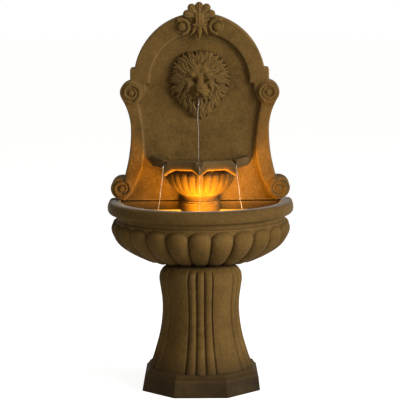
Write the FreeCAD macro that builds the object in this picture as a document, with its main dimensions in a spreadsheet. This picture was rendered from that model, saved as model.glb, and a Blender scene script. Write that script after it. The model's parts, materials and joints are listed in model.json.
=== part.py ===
import FreeCAD, Part
import math
import os
import Sketcher
from FreeCAD import Placement, Rotation, Vector

# Floor fountain of cast stone. Millimetres, +Z up, front towards -Y,
# origin on the floor under the middle of the plinth.

SIZES = {
    # Pedestal: octagonal plinth in two tiers, then a waisted column with reeded faces
    "pedestal_height": 490, "plinth_half": 222, "plinth_taper": 13, "plinth_facet": 201, "plinth_height": 67,
    "tier_inset": 4, "tier_taper": 9, "tier_height": 14,
    "foot_half": 194, "ankle_half": 163, "ankle_rise": 109, "neck_half": 146, "neck_rise": 220,
    "bulge_half": 158, "bulge_drop": 75, "seat_half": 132,
    "facet_width": 100, "core_bore": 120, "reed_width": 26, "reed_pitch": 31, "reed_rise": 9,
    # Lower basin: half-round in plan about an upright axis, with a straight ledge behind it
    "basin_setback": 135, "ledge_depth": 87, "basin_height": 212, "basin_floor": 50,
    "rim_radius": 340, "rim_bulge": 17, "rim_height": 48, "rim_wall": 30, "rim_cove": 6,
    "neck_inset": 7, "belly_inset": 20, "belly_rise": 122, "base_inset": 98,
    "inner_inset": 12, "inner_drop": 62, "floor_inset": 95, "inner_bow": 140,
    "lobe_count": 13, "lobe_radius": 45, "lobe_inset": 31, "lobe_rise": 109,
    "lobe_tip_radius": 26, "lobe_tip_inset": 78, "lobe_tip_rise": 30,
    # Back panel: raised frame round a sunk field, two pairs of volutes, shoulder blocks and an arch
    "panel_depth": 107, "field_recess": 20, "panel_foot_half": 298,
    "low_volute_x": 305, "low_volute_rise": 50, "low_volute_radius": 43,
    "top_volute_x": 264, "top_volute_rise": 422, "top_volute_radius": 44,
    "volute_rise": 6, "volute_ring": 7, "volute_eye": 13, "volute_groove": 5,
    "hip_half": 290, "hip_rise": 110, "waist_half": 267, "waist_rise": 276,
    "arm_half": 300, "arm_rise": 396, "block_half": 268, "block_rise": 515,
    "arch_radius": 254, "arch_rise": 471,
    "field_foot_half": 296, "field_half": 216, "field_bend": 203, "cusp_half": 237, "cusp_rise": 381,
    "field_ledge_half": 210, "field_ledge": 456, "hollow_bow": 75,
    "inner_arch_half": 192, "inner_arch_spring": 464, "inner_arch_crown": 188,
    # Upper basin: half an octagon with a vertex in front, on a fluted half-bowl
    "bowl_height": 130, "bowl_radius": 188, "bowl_rim_height": 28, "bowl_wall": 20, "tray_depth": 16,
    "under_rim_inset": 20, "under_rim_height": 14, "bowl_belly": 126, "bowl_foot_step": 3,
    "bowl_shell": 22, "bowl_floor": 45, "bowl_bow": 50, "bowl_floor_inset": 42,
    "flute_count": 13, "flute_radius": 18, "flute_inset": 5, "flute_rise": 59,
    "flute_tip_radius": 10, "flute_tip_inset": 42, "flute_tip_rise": 15,
    "spout_width": 34, "spout_drop": 46, "spout_beak": 8, "spout_groove": 24, "spout_depth": 22,
    # Riser ring and the pump cover below it
    "riser_height": 43, "riser_wall": 15, "riser_lip": 6, "riser_lip_height": 12, "riser_taper": 2,
    "riser_cove": 8, "pump_clearance": 5.5, "cover_foot": 20, "cover_cove": 10,
    "inlet_width": 30, "inlet_height": 24, "inlet_x": 38,
    # Shell crest
    "crest_drop": 40, "crest_reach": 83, "crest_rib_count": 9, "crest_rib_radius": 12, "crest_rib_start": 17,
    "crest_rib_root": 5, "crest_rib_seat": 9, "crest_fan": 150, "crest_heart": 35, "crest_heart_depth": 21,
    "crest_volute_x": 69, "crest_volute_radius": 21, "crest_volute_drop": 9, "crest_volute_depth": 24,
    "crest_link_depth": 15, "leaf_drop": 60, "leaf_side_drop": 42, "leaf_width": 26, "leaf_tip": 8,
    "leaf_pitch": 18, "leaf_spread": 34, "leaf_seat": 6,
    # Lion mask
    "mask_rise": 448, "mask_half_width": 110, "mask_half_height": 130, "mask_depth": 34, "mouth_drop": 48,
    "mane_foot": 99, "mane_crown": 66, "lock_count": 16, "lock_start": 0.62, "lock_root": 21, "lock_tip": 11,
    "lock_curl": 14, "face_half": 55, "face_depth": 62, "skull_rise": 25, "jaw_radius": 51, "jaw_drop": 19,
    "muzzle_depth": 88, "muzzle_radius": 29, "muzzle_rise": 16, "chin_radius": 19, "chin_drop": 23,
    "chin_setback": 41, "nose_bridge": 9, "nose_tip": 11, "nose_rise": 27, "nose_height": 30,
    "nose_setback": 6, "brow_thick": 9, "brow_thin": 8, "brow_inner": 11, "brow_outer": 41,
    "brow_rise": 27, "brow_lift": 12,
    "brow_sweep": 24, "ear_radius": 19, "ear_reach": 60, "ear_rise": 71, "cheek_radius": 22,
    "cheek_reach": 32, "cheek_forward": 45, "cheek_rise": 19,
    # Water line
    "hose_radius": 8, "hose_bore": 6, "hose_bend": 42, "hose_slope": 0.577, "hose_turn_drop": 14,
    "chase_width": 40, "chase_foot": 20, "chase_head": 28, "port_clearance": 4,
    "strap_height": 16, "strap_thick": 3, "strap_inset": 2, "strap_low": 142, "strap_high": 326,
    "nozzle_radius": 8, "nozzle_bore": 4, "nozzle_recess": 30, "nozzle_tail": 10,
    "nut_across": 24, "nut_thick": 6, "clamp_width": 9, "clamp_thick": 1.2, "clamp_inset": 6,
    "clamp_clear": 1.7,
    # Pump, lying along the depth with its intake to the front
    "pump_width": 44, "pump_height": 46, "motor_length": 38, "chamber_length": 18, "grille_length": 12,
    "pump_rear_gap": 4, "foot_height": 7, "foot_radius": 7, "pump_corner": 6,
    "rotor_radius": 10, "rotor_length": 28, "rotor_gap": 1, "shaft_radius": 1.5, "running_fit": 0.05,
    "impeller_radius": 15, "impeller_width": 9, "plate_thick": 2, "blade_count": 6, "blade_thick": 1.6,
    "chamber_bore": 17.5, "bush_radius": 4, "bush_length": 4, "boss_wall": 2, "seal_wire": 1.2,
    "nipple_length": 20, "nipple_root": 4, "nipple_wall": 2, "grille_wall": 2.5, "grille_slot": 3,
    "dial_radius": 8, "dial_thick": 3, "dial_stem": 3, "stem_clear": 1, "grip_width": 2, "grip_rise": 2,
    "gland_radius": 6, "gland_length": 12, "gland_bore": 3.2,
    # Lamp, shining up from the floor of the basin
    "lamp_y": -40, "lamp_rise": 62, "lamp_radius": 23, "lamp_length": 46, "lamp_wall": 3, "lamp_ledge": 2,
    "lamp_base_radius": 30, "lamp_base_taper": 4, "lamp_base_height": 12, "bracket_gap": 2.5,
    "bracket_width": 14, "bracket_thick": 2.5, "lens_thick": 4, "gasket_thick": 1.5, "gasket_width": 2.4,
    "bezel_width": 7, "bezel_rise": 3, "board_thick": 2, "board_drop": 16, "board_ledge": 1,
    "fin_count": 4, "fin_pitch": 4, "fin_depth": 1.4, "pivot_radius": 2.5, "knob_radius": 8, "knob_thick": 8,
    # Rubber stopper in the floor of the basin, over the core of the pedestal
    "stopper_x": 38, "stopper_radius": 17, "stopper_flange": 23, "stopper_flange_height": 6,
    "stopper_length": 34, "stopper_ring": 11, "stopper_wire": 2.5, "lead_hole": 3.2,
    # Dowels, clearances and how far a cut runs past the face it opens
    "dowel_radius": 6, "dowel_length": 60, "dowel_x": 200, "dowel_inset": 42, "bowl_dowel_x": 52,
    "bowl_dowel_rise": 25, "crest_pin_rise": 5, "seat_fit": 0.1, "hose_fit": 0.05, "gap": 0.3, "overcut": 10,
}

doc = FreeCAD.newDocument("floor_fountain")
sheet = doc.addObject("Spreadsheet::Sheet", "sizes")
for row, (alias, number) in enumerate(SIZES.items(), start=1):
    sheet.set(f"A{row}", alias)
    sheet.set(f"B{row}", str(number))
    sheet.setAlias(f"B{row}", alias)
doc.recompute()


class Size:
    """A length that carries both its value and the sheet expression that drives it."""

    def __init__(self, value, text):
        self.value = value
        self.text = text

    def __add__(self, other):
        other = sized(other)
        return Size(self.value + other.value, f"({self.text} + {other.text})")

    def __sub__(self, other):
        other = sized(other)
        return Size(self.value - other.value, f"({self.text} - {other.text})")

    def __mul__(self, other):
        other = sized(other)
        return Size(self.value * other.value, f"({self.text} * {other.text})")

    def __truediv__(self, other):
        other = sized(other)
        return Size(self.value / other.value, f"({self.text} / {other.text})")

    def __neg__(self):
        return Size(-self.value, f"(0 - {self.text})")

    def __rsub__(self, other):
        return sized(other) - self


def sized(number):
    if isinstance(number, Size):
        return number
    return Size(float(number), f"({float(number):.9g})")


def root(size):
    return Size(math.sqrt(size.value), f"sqrt({size.text})")


def diagonal(across, along):
    return root(across * across + along * along)


class Sheet:
    """Reads a driving dimension by its alias."""

    def __getattr__(self, alias):
        return Size(float(sheet.get(alias)), f"sizes.{alias}")


D = Sheet()
NODES = []
SPOUT_ANGLE = 45
OCTAGON_CORNER = math.sqrt(0.5)
REEDED_FACES = 4
UPRIGHT, ALONG_Y, ALONG_X = Rotation(), Rotation(Vector(1, 0, 0), -90), Rotation(Vector(0, 1, 0), 90)

# Levels that the castings share, from the floor up
SEAT = D.pedestal_height
FLOOR = SEAT + D.basin_floor
RIM = SEAT + D.basin_height
RISER_TOP = RIM + D.riser_height
BOWL_TOP = RISER_TOP + D.bowl_height
MASK = RIM + D.mask_rise
MOUTH = MASK - D.mouth_drop
ARCH = RIM + D.arch_rise
CREST = ARCH + D.arch_radius - D.crest_drop

# Upright planes that they share, from the front to the back
FIELD = D.basin_setback
FRAME = FIELD - D.field_recess
BACK = FRAME + D.panel_depth
HOSE_LINE = BACK - D.strap_inset - D.strap_thick - D.hose_radius
HOSE_END = HOSE_LINE - D.hose_bend - D.clamp_clear - D.clamp_width
CHASE = HOSE_END - D.gap - D.nut_thick

# The pump's joints along the depth, its middle height, and the ring that goes round it
PUMP_REAR = FIELD - D.pump_rear_gap
PUMP_JOINT = PUMP_REAR - D.motor_length
PUMP_INTAKE = PUMP_JOINT - D.chamber_length
PUMP_FRONT = PUMP_INTAKE - D.grille_length
PUMP_OUTLET = PUMP_INTAKE + D.chamber_length / 2
PUMP_MIDDLE = FLOOR + D.foot_height + D.pump_height / 2
RISER_INNER = diagonal(D.pump_width / 2, FRAME - PUMP_FRONT) + D.pump_clearance
RISER_OUTER = RISER_INNER + D.riser_wall


def node(obj, label):
    """Names a finished sub-part; the label names its file."""
    obj.Label = label
    NODES.append(obj)


def place(obj, at, turn=UPRIGHT):
    obj.Placement = Placement(Vector(), turn)
    for axis, value in zip("xyz", at):
        obj.setExpression(f"Placement.Base.{axis}", sized(value).text)


def solid(kind, name, at=(0, 0, 0), turn=UPRIGHT, **sizes):
    """A primitive solid, every size bound to the sheet."""
    obj = doc.addObject(f"Part::{kind}", name)
    place(obj, at, turn)
    for key, value in sizes.items():
        obj.setExpression(key, sized(value).text)
    return obj


def cylinder(name, at, radius, length, turn=UPRIGHT):
    return solid("Cylinder", name, at, turn, Radius=radius, Height=length)


def cone(name, at, low_radius, high_radius, height, turn=UPRIGHT):
    return solid("Cone", name, at, turn, Radius1=low_radius, Radius2=high_radius, Height=height)


def box(name, low, extent):
    return solid("Box", name, low, Length=extent[0], Width=extent[1], Height=extent[2])


def fuse(name, *shapes):
    obj = doc.addObject("Part::MultiFuse", name)
    obj.Shapes = list(shapes)
    return obj


def weld(name, pieces):
    """Joins rounded pieces one after another, for ornament where many of them cross."""
    whole = pieces[0]
    for index, piece in enumerate(pieces[1:]):
        joined = doc.addObject("Part::Fuse", f"{name}_{index}")
        joined.Base = whole
        joined.Tool = piece
        whole = joined
    return whole


def cut(name, base, *tools):
    obj = doc.addObject("Part::Cut", name)
    obj.Base = base
    obj.Tool = tools[0] if len(tools) == 1 else fuse(f"{name}_tools", *tools)
    return obj


def common(name, base, tool):
    obj = doc.addObject("Part::Common", name)
    obj.Base = base
    obj.Tool = tool
    return obj


def group(name, shapes):
    """Several equal solids kept apart in one sub-part."""
    obj = doc.addObject("Part::Compound", name)
    obj.Links = list(shapes)
    return obj


def tube(name, at, outer, inner, length, turn=UPRIGHT):
    wall = cylinder(f"{name}_outside", at, outer, length, turn)
    return cut(name, wall, cylinder(f"{name}_bore", at, inner, length, turn))


def behind(name, y, height, reach):
    """A block of air behind an upright face, to trim what stands on that face."""
    return box(name, (-reach, y, height - reach), (reach * 2, reach, reach * 2))


def new_body(name, at=(0, 0, 0)):
    body = doc.addObject("PartDesign::Body", name)
    place(body, at)
    return body


def datum(body, role):
    return next(item for item in body.Origin.OriginFeatures if item.Role == role)


def new_sketch(body, name, role, height=0):
    sketch = body.newObject("Sketcher::SketchObject", name)
    sketch.AttachmentSupport = [(datum(body, role), "")]
    sketch.MapMode = "FlatFace"
    sketch.setExpression("AttachmentOffset.Base.z", sized(height).text)
    return sketch


def drive(sketch, kind, where, size):
    """Adds a dimension to a sketch and binds it to the sheet."""
    index = sketch.addConstraint(Sketcher.Constraint(kind, *where, size.value))
    sketch.setExpression(f"Constraints[{index}]", size.text)


def pin_point(sketch, edge, end, x, y):
    """Dimensions a point of the sketch from the sketch's origin."""
    for kind, axis, value in (("DistanceX", -2, sized(x)), ("DistanceY", -1, sized(y))):
        if abs(value.value) < 1e-9:
            sketch.addConstraint(Sketcher.Constraint("PointOnObject", edge, end, axis))
        elif value.value > 0:
            drive(sketch, kind, (-1, 1, edge, end), value)
        else:
            drive(sketch, kind, (edge, end, -1, 1), -value)


def arc_between(start, finish, bow):
    """The short arc between two points; a positive bow has its centre on the left of the way."""
    way = finish - start
    left = Vector(-way.y, way.x, 0).normalize()
    rise = math.sqrt(max(bow * bow - way.Length ** 2 / 4, 0))
    centre = (start + finish) * 0.5 + left * math.copysign(rise, bow)
    first, last = (start, finish) if bow > 0 else (finish, start)
    angles = [math.atan2(point.y - centre.y, point.x - centre.x) for point in (first, last)]
    return Part.ArcOfCircle(Part.Circle(centre, Vector(0, 0, 1), abs(bow)), *angles)


def outline(sketch, corners):
    """A closed outline; a corner's third item is the radius of an arc that leaves it."""
    points = [Vector(sized(corner[0]).value, sized(corner[1]).value, 0) for corner in corners]
    edges, starts, ends = [], [], []
    for index, corner in enumerate(corners):
        start, finish = points[index], points[(index + 1) % len(points)]
        if len(corner) == 2:
            edges.append(sketch.addGeometry(Part.LineSegment(start, finish), False))
            order = (1, 2)
        else:
            bow = sized(corner[2])
            edges.append(sketch.addGeometry(arc_between(start, finish, bow.value), False))
            order = (1, 2) if bow.value > 0 else (2, 1)
        starts.append(order[0])
        ends.append(order[1])
    for index, edge in enumerate(edges):
        after = (index + 1) % len(edges)
        joined = Sketcher.Constraint("Coincident", edge, ends[index], edges[after], starts[after])
        sketch.addConstraint(joined)
    for index, corner in enumerate(corners):
        pin_point(sketch, edges[index], starts[index], corner[0], corner[1])
        if len(corner) == 3:
            bow = sized(corner[2])
            drive(sketch, "Radius", (edges[index],), bow if bow.value > 0 else -bow)
    return edges


def circle(sketch, x, y, radius):
    centre = Vector(sized(x).value, sized(y).value, 0)
    edge = sketch.addGeometry(Part.Circle(centre, Vector(0, 0, 1), sized(radius).value), False)
    pin_point(sketch, edge, 3, x, y)
    drive(sketch, "Radius", (edge,), sized(radius))


def feature(body, kind, name, profile, **settings):
    item = body.newObject(f"PartDesign::{kind}", name)
    item.Profile = profile
    for key, value in settings.items():
        if isinstance(value, Size):
            item.setExpression(key, value.text)
        else:
            setattr(item, key, value)
    return item


def half_turn(body, name, sketch, kind="Revolution"):
    """Turns an upright half-section through the half circle that faces the front."""
    return feature(body, kind, name, sketch, ReferenceAxis=(sketch, ["V_Axis"]), Angle=180, Reversed=True)


def run_back(body, name, sketch, depth):
    """Carries the same half-section straight back on both sides."""
    straight = feature(body, "Pad", name, sketch, Length=depth, Reversed=True)
    other = body.newObject("PartDesign::Mirrored", f"{name}_other_side")
    other.Originals = [straight]
    other.MirrorPlane = (datum(body, "YZ_Plane"), [""])
    body.Tip = other


def fan_out(body, name, original, count, angle, reversed_way=True):
    """Repeats a feature about the body's upright axis."""
    pattern = body.newObject("PartDesign::PolarPattern", name)
    pattern.Originals = [original]
    pattern.Axis = (datum(body, "Z_Axis"), [""])
    pattern.Angle = angle
    pattern.setExpression("Occurrences", sized(count).text)
    pattern.Reversed = reversed_way
    body.Tip = pattern


def lobes(body, name, blunt, blunt_radius, tip, tip_radius, count):
    """A row of thumb-shaped lobes round a bowl: a large ball above, a small one below, a cone between."""
    steps = [top - low for top, low in zip(blunt, tip)]
    length = diagonal(*steps)
    across, up = steps[0] / length, steps[1] / length
    lean = (blunt_radius - tip_radius) / length
    rise = root(1 - lean * lean)

    def on_ball(centre, radius, along, out):
        return (centre[0] + radius * (across * along + up * out),
                centre[1] + radius * (up * along - across * out))

    foot, pole = on_ball(tip, tip_radius, -1, 0), on_ball(blunt, blunt_radius, 1, 0)
    low, high = on_ball(tip, tip_radius, -lean, rise), on_ball(blunt, blunt_radius, -lean, rise)
    sketch = new_sketch(body, f"{name}_section", "XZ_Plane")
    edges = outline(sketch, [foot + (tip_radius,), low, high + (blunt_radius,), pole])
    ends = [Vector(point[0].value, point[1].value, 0) for point in (foot, pole)]
    axis = sketch.addGeometry(Part.LineSegment(*ends), True)
    sketch.addConstraint(Sketcher.Constraint("Coincident", axis, 1, edges[0], 1))
    sketch.addConstraint(Sketcher.Constraint("Coincident", axis, 2, edges[3], 1))
    lobe = feature(body, "Revolution", name, sketch, ReferenceAxis=(sketch, ["Axis0"]), Angle=360)
    fan_out(body, f"{name}_row", lobe, count, 180)


def octagon(sketch, half, facet):
    side = facet / 2
    quarter = [(side, -half), (half, -side), (half, side), (side, half)]
    outline(sketch, quarter + [(-x, -y) for x, y in quarter])


def pedestal():
    """Plinth and column cast in one, with an open core."""
    body = new_body("pedestal_casting")

    def tier(name, low, low_half, high, high_half):
        sections = []
        for end, level, half in (("foot", low, low_half), ("top", high, high_half)):
            section = new_sketch(body, f"{name}_{end}", "XY_Plane", level)
            octagon(section, half, D.plinth_facet * half / D.plinth_half)
            sections.append(section)
        feature(body, "AdditiveLoft", name, sections[0], Sections=sections[1:], Ruled=True)

    plinth_top_half = D.plinth_half - D.plinth_taper
    tier_half = plinth_top_half - D.tier_inset
    tier_top = D.plinth_height + D.tier_height
    tier("plinth", sized(0), D.plinth_half, D.plinth_height, plinth_top_half)
    tier("upper_tier", D.plinth_height, tier_half, tier_top, tier_half - D.tier_taper)
    levels = [(tier_top, D.foot_half), (tier_top + D.ankle_rise, D.ankle_half),
              (tier_top + D.neck_rise, D.neck_half), (SEAT - D.bulge_drop, D.bulge_half), (SEAT, D.seat_half)]
    sections = []
    for index, (level, half) in enumerate(levels):
        section = new_sketch(body, f"column_{index}", "XY_Plane", level)
        octagon(section, half, D.facet_width)
        sections.append(section)
    feature(body, "AdditiveLoft", "column", sections[0], Sections=sections[1:])
    foot, crown = D.reed_width / 2, D.reed_width / 4
    for reed_index, place_index in enumerate((-1, 0, 1)):
        middle = D.reed_pitch * place_index
        sections = []
        for index, (level, half) in enumerate(levels):
            section = new_sketch(body, f"reed_{reed_index}_{index}", "XY_Plane", level)
            root_line, top_line = D.reed_rise - half, -half - D.reed_rise
            outline(section, [(middle - foot, root_line), (middle - foot, -half), (middle - crown, top_line),
                              (middle + crown, top_line), (middle + foot, -half), (middle + foot, root_line)])
            sections.append(section)
        reed = feature(body, "AdditiveLoft", f"reed_{reed_index}", sections[0], Sections=sections[1:])
        fan_out(body, f"reed_{reed_index}_faces", reed, REEDED_FACES, 360)
    core = new_sketch(body, "core_section", "XY_Plane")
    circle(core, 0, 0, D.core_bore / 2)
    feature(body, "Pocket", "core", core, Length=SEAT, Reversed=True)
    node(body, "pedestal")


def basin_shell():
    """The D-plan bowl with its rounded rim, lobes and hollow."""
    body = new_body("basin_casting", (0, FIELD, 0))
    section = new_sketch(body, "basin_section", "XZ_Plane")
    rim, rim_foot = D.rim_radius, RIM - D.rim_height
    outline(section, [(0, SEAT), (rim - D.base_inset, SEAT), (rim - D.belly_inset, SEAT + D.belly_rise),
                      (rim - D.neck_inset, rim_foot - D.rim_cove),
                      (rim, rim_foot, sagitta_bow(D.rim_height / 2, D.rim_bulge)), (rim, RIM), (0, RIM)])
    half_turn(body, "basin_front", section)
    run_back(body, "basin_ledge", section, D.ledge_depth)
    lobes(body, "gadroon", (rim - D.lobe_inset, SEAT + D.lobe_rise), D.lobe_radius,
          (rim - D.lobe_tip_inset, SEAT + D.lobe_tip_rise), D.lobe_tip_radius, D.lobe_count)
    hollow = new_sketch(body, "basin_hollow_section", "XZ_Plane")
    mouth = rim - D.rim_wall
    outline(hollow, [(0, FLOOR), (mouth - D.floor_inset, FLOOR, D.inner_bow),
                     (mouth - D.inner_inset, RIM - D.inner_drop), (mouth, RIM),
                     (mouth, RIM + D.overcut), (0, RIM + D.overcut)])
    half_turn(body, "basin_hollow", hollow, "Groove")
    return body


def lower_basin():
    drain = cylinder("drain_hole", (D.stopper_x, 0, SEAT - D.overcut), D.stopper_radius + D.gap,
                     D.basin_floor + D.overcut * 2)
    node(cut("basin", basin_shell(), drain, *dowel_holes("basin", ledge_dowels())), "lower_basin")


def ledge_dowels():
    y = FIELD + D.dowel_inset
    return [(f"ledge_{side}", (x, y, RIM - D.dowel_length / 2), UPRIGHT)
            for side, x in (("left", -D.dowel_x), ("right", D.dowel_x))]


def bowl_dowels():
    y = FIELD - D.dowel_length / 2
    return [(f"bowl_{side}", (x, y, RISER_TOP + D.bowl_dowel_rise), ALONG_Y)
            for side, x in (("left", -D.bowl_dowel_x), ("right", D.bowl_dowel_x))]


def crest_dowel():
    return ("crest", (0, FRAME - D.dowel_length / 4, CREST + D.crest_pin_rise), ALONG_Y)


def dowel_holes(owner, dowel_list):
    """One piece's holes for the dowels that it shares with its neighbour."""
    return [cylinder(f"{owner}_{name}_hole", at, D.dowel_radius + D.seat_fit, D.dowel_length, turn)
            for name, at, turn in dowel_list]


def both_sides(right_side):
    """Mirrors the right-hand corners of an outline, keeping the arcs."""
    left = []
    for index in range(len(right_side) - 1, -1, -1):
        corner = right_side[index]
        bow = right_side[index - 1][2:] if index > 0 else ()
        left.append((-corner[0], corner[1]) + tuple(bow))
    return right_side + left


def sagitta_bow(reach, rise):
    """Radius of an arc that leaves a tangent and rises off it over a reach."""
    return (reach * reach + rise * rise) / (rise * 2)


def panel_casting():
    body = new_body("panel_casting", (0, FRAME, 0))
    face = new_sketch(body, "panel_outline", "XZ_Plane")
    hip_bow = sagitta_bow(D.waist_rise - D.hip_rise, D.hip_half - D.waist_half)
    arm_bow = sagitta_bow(D.arm_rise - D.waist_rise, D.arm_half - D.waist_half)
    spring = D.block_rise - D.arch_rise
    arch_half = root(D.arch_radius * D.arch_radius - spring * spring)
    low_volute, top_volute, block_top = RIM + D.low_volute_rise, RIM + D.top_volute_rise, RIM + D.block_rise
    outline(face, both_sides([
        (D.panel_foot_half, RIM), (D.panel_foot_half, low_volute), (D.hip_half, RIM + D.hip_rise, -hip_bow),
        (D.waist_half, RIM + D.waist_rise, -arm_bow), (D.arm_half, RIM + D.arm_rise),
        (D.block_half, top_volute), (D.block_half, block_top), (arch_half, block_top, D.arch_radius)]))
    feature(body, "Pad", "panel_slab", face, Length=D.panel_depth, Reversed=True)
    scrolls = new_sketch(body, "volutes", "XZ_Plane", D.volute_rise)
    grooves = new_sketch(body, "volute_grooves", "XZ_Plane", D.volute_rise)
    for x, z, radius in ((D.low_volute_x, low_volute, D.low_volute_radius),
                         (D.top_volute_x, top_volute, D.top_volute_radius)):
        for side in (-1, 1):
            circle(scrolls, x * side, z, radius)
            circle(grooves, x * side, z, radius - D.volute_ring)
            circle(grooves, x * side, z, D.volute_eye)
    feature(body, "Pad", "volute_drums", scrolls, Length=D.panel_depth + D.volute_rise, Reversed=True)
    field = new_sketch(body, "field_outline", "XZ_Plane")
    foot_bow = sagitta_bow(D.field_bend, D.field_foot_half - D.field_half)
    cusp_bow = sagitta_bow(D.cusp_rise - D.field_bend, D.cusp_half - D.field_half)
    ledge = RIM + D.field_ledge
    outline(field, both_sides([
        (D.field_foot_half, RIM, -foot_bow), (D.field_half, RIM + D.field_bend, -cusp_bow),
        (D.cusp_half, RIM + D.cusp_rise, -D.hollow_bow), (D.field_ledge_half, ledge),
        (D.inner_arch_half, ledge),
        (D.inner_arch_half, RIM + D.inner_arch_spring, sagitta_bow(D.inner_arch_half, D.inner_arch_crown))]))
    feature(body, "Pocket", "field", field, Length=D.field_recess)
    feature(body, "Pocket", "volute_rings", grooves, Length=D.volute_groove)
    chase = new_sketch(body, "chase_outline", "XZ_Plane", -D.panel_depth)
    half, foot, head = D.chase_width / 2, RIM + D.chase_foot, MOUTH + D.chase_head
    outline(chase, [(-half, foot), (half, foot), (half, head), (-half, head)])
    feature(body, "Pocket", "hose_chase", chase, Length=BACK - CHASE, Reversed=True)
    return body


def back_panel():
    mouth_port = cylinder("mouth_port", (0, FIELD - D.overcut, MOUTH), D.nozzle_radius + D.gap,
                          CHASE - FIELD + D.overcut * 2, ALONG_Y)
    slope = Rotation(Vector(1, 0, 0), math.degrees(math.atan(D.hose_slope.value)) - 90)
    turn = hose_corners()[1]
    hose_port = cylinder("hose_port", turn, D.hose_radius + D.port_clearance, BACK - turn[1], slope)
    clear = box("port_limit", (-D.chase_width, FIELD - D.overcut, RIM),
                (D.chase_width * 2, D.panel_depth, D.riser_height + D.chase_width))
    holes = dowel_holes("panel", ledge_dowels() + bowl_dowels() + [crest_dowel()])
    sloped_port = common("sloped_port", hose_port, clear)
    node(cut("panel", panel_casting(), mouth_port, sloped_port, *holes), "back_panel")


def thumb(name, start, finish, thick, thin):
    """A round-ended finger, thick at its start and thin at its finish, turned about its middle line."""
    first, last = (Vector(*(sized(value).value for value in point)) for point in (start, finish))
    big, small = thick.value, thin.value
    length = (last - first).Length
    lean = (big - small) / length
    rise = math.sqrt(1 - lean * lean)
    big_end, small_end = (Vector(radius * rise, 0, at + radius * lean)
                          for radius, at in ((big, 0), (small, length)))
    slant = math.sqrt(0.5)
    foot, pole = Vector(0, 0, -big), Vector(0, 0, length + small)
    edges = [Part.Arc(foot, Vector(big * slant, 0, -big * slant), big_end).toShape(),
             Part.LineSegment(big_end, small_end).toShape(),
             Part.Arc(small_end, Vector(small * slant, 0, length + small * slant), pole).toShape(),
             Part.LineSegment(pole, foot).toShape()]
    finger = doc.addObject("Part::Feature", name)
    finger.Shape = Part.Face(Part.Wire(edges)).revolve(Vector(), Vector(0, 0, 1), 360)
    finger.Placement = Placement(first, Rotation(Vector(0, 0, 1), last - first))
    return finger


def shell_crest():
    """A fan of ribs over two small volutes and a drop of leaves, flat against the frame."""
    def disc(name, x, z, radius, depth):
        return cylinder(name, (x, FRAME - depth, z), radius, depth, ALONG_Y)

    pieces = [disc("crest_heart", 0, CREST, D.crest_heart, D.crest_heart_depth)]
    count = int(D.crest_rib_count.value)
    for index in range(count):
        angle = math.radians(D.crest_fan.value * (index / (count - 1) - 0.5))
        ends = [(reach * math.sin(angle), FRAME - D.crest_rib_seat, CREST + reach * math.cos(angle))
                for reach in (D.crest_rib_start, D.crest_reach - D.crest_rib_radius)]
        pieces.append(thumb(f"crest_rib_{index}", *ends, D.crest_rib_root, D.crest_rib_radius))
    shoulder = CREST - D.crest_volute_drop
    for index, side in enumerate((-1, 1)):
        x, radius = D.crest_volute_x * side, D.crest_volute_radius
        pieces.append(disc(f"crest_volute_{index}", x, shoulder, radius, D.crest_volute_depth))
        pieces.append(disc(f"crest_link_{index}", x / 2, shoulder, radius, D.crest_link_depth))
    for index, side in enumerate((-1, 0, 1)):
        drop = D.leaf_drop if side == 0 else D.leaf_side_drop
        top = (D.leaf_pitch * side, FRAME - D.leaf_seat, shoulder)
        low = (D.leaf_spread * side, FRAME - D.leaf_seat, CREST - drop)
        pieces.append(thumb(f"crest_leaf_{index}", top, low, D.leaf_width / 2, D.leaf_tip / 2))
    back = behind("crest_back", FRAME, CREST, D.crest_reach * 2)
    trimmed = cut("crest_trimmed", weld("crest_fan", pieces), back)
    node(cut("crest", trimmed, *dowel_holes("crest", [crest_dowel()])), "shell_crest")


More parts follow.
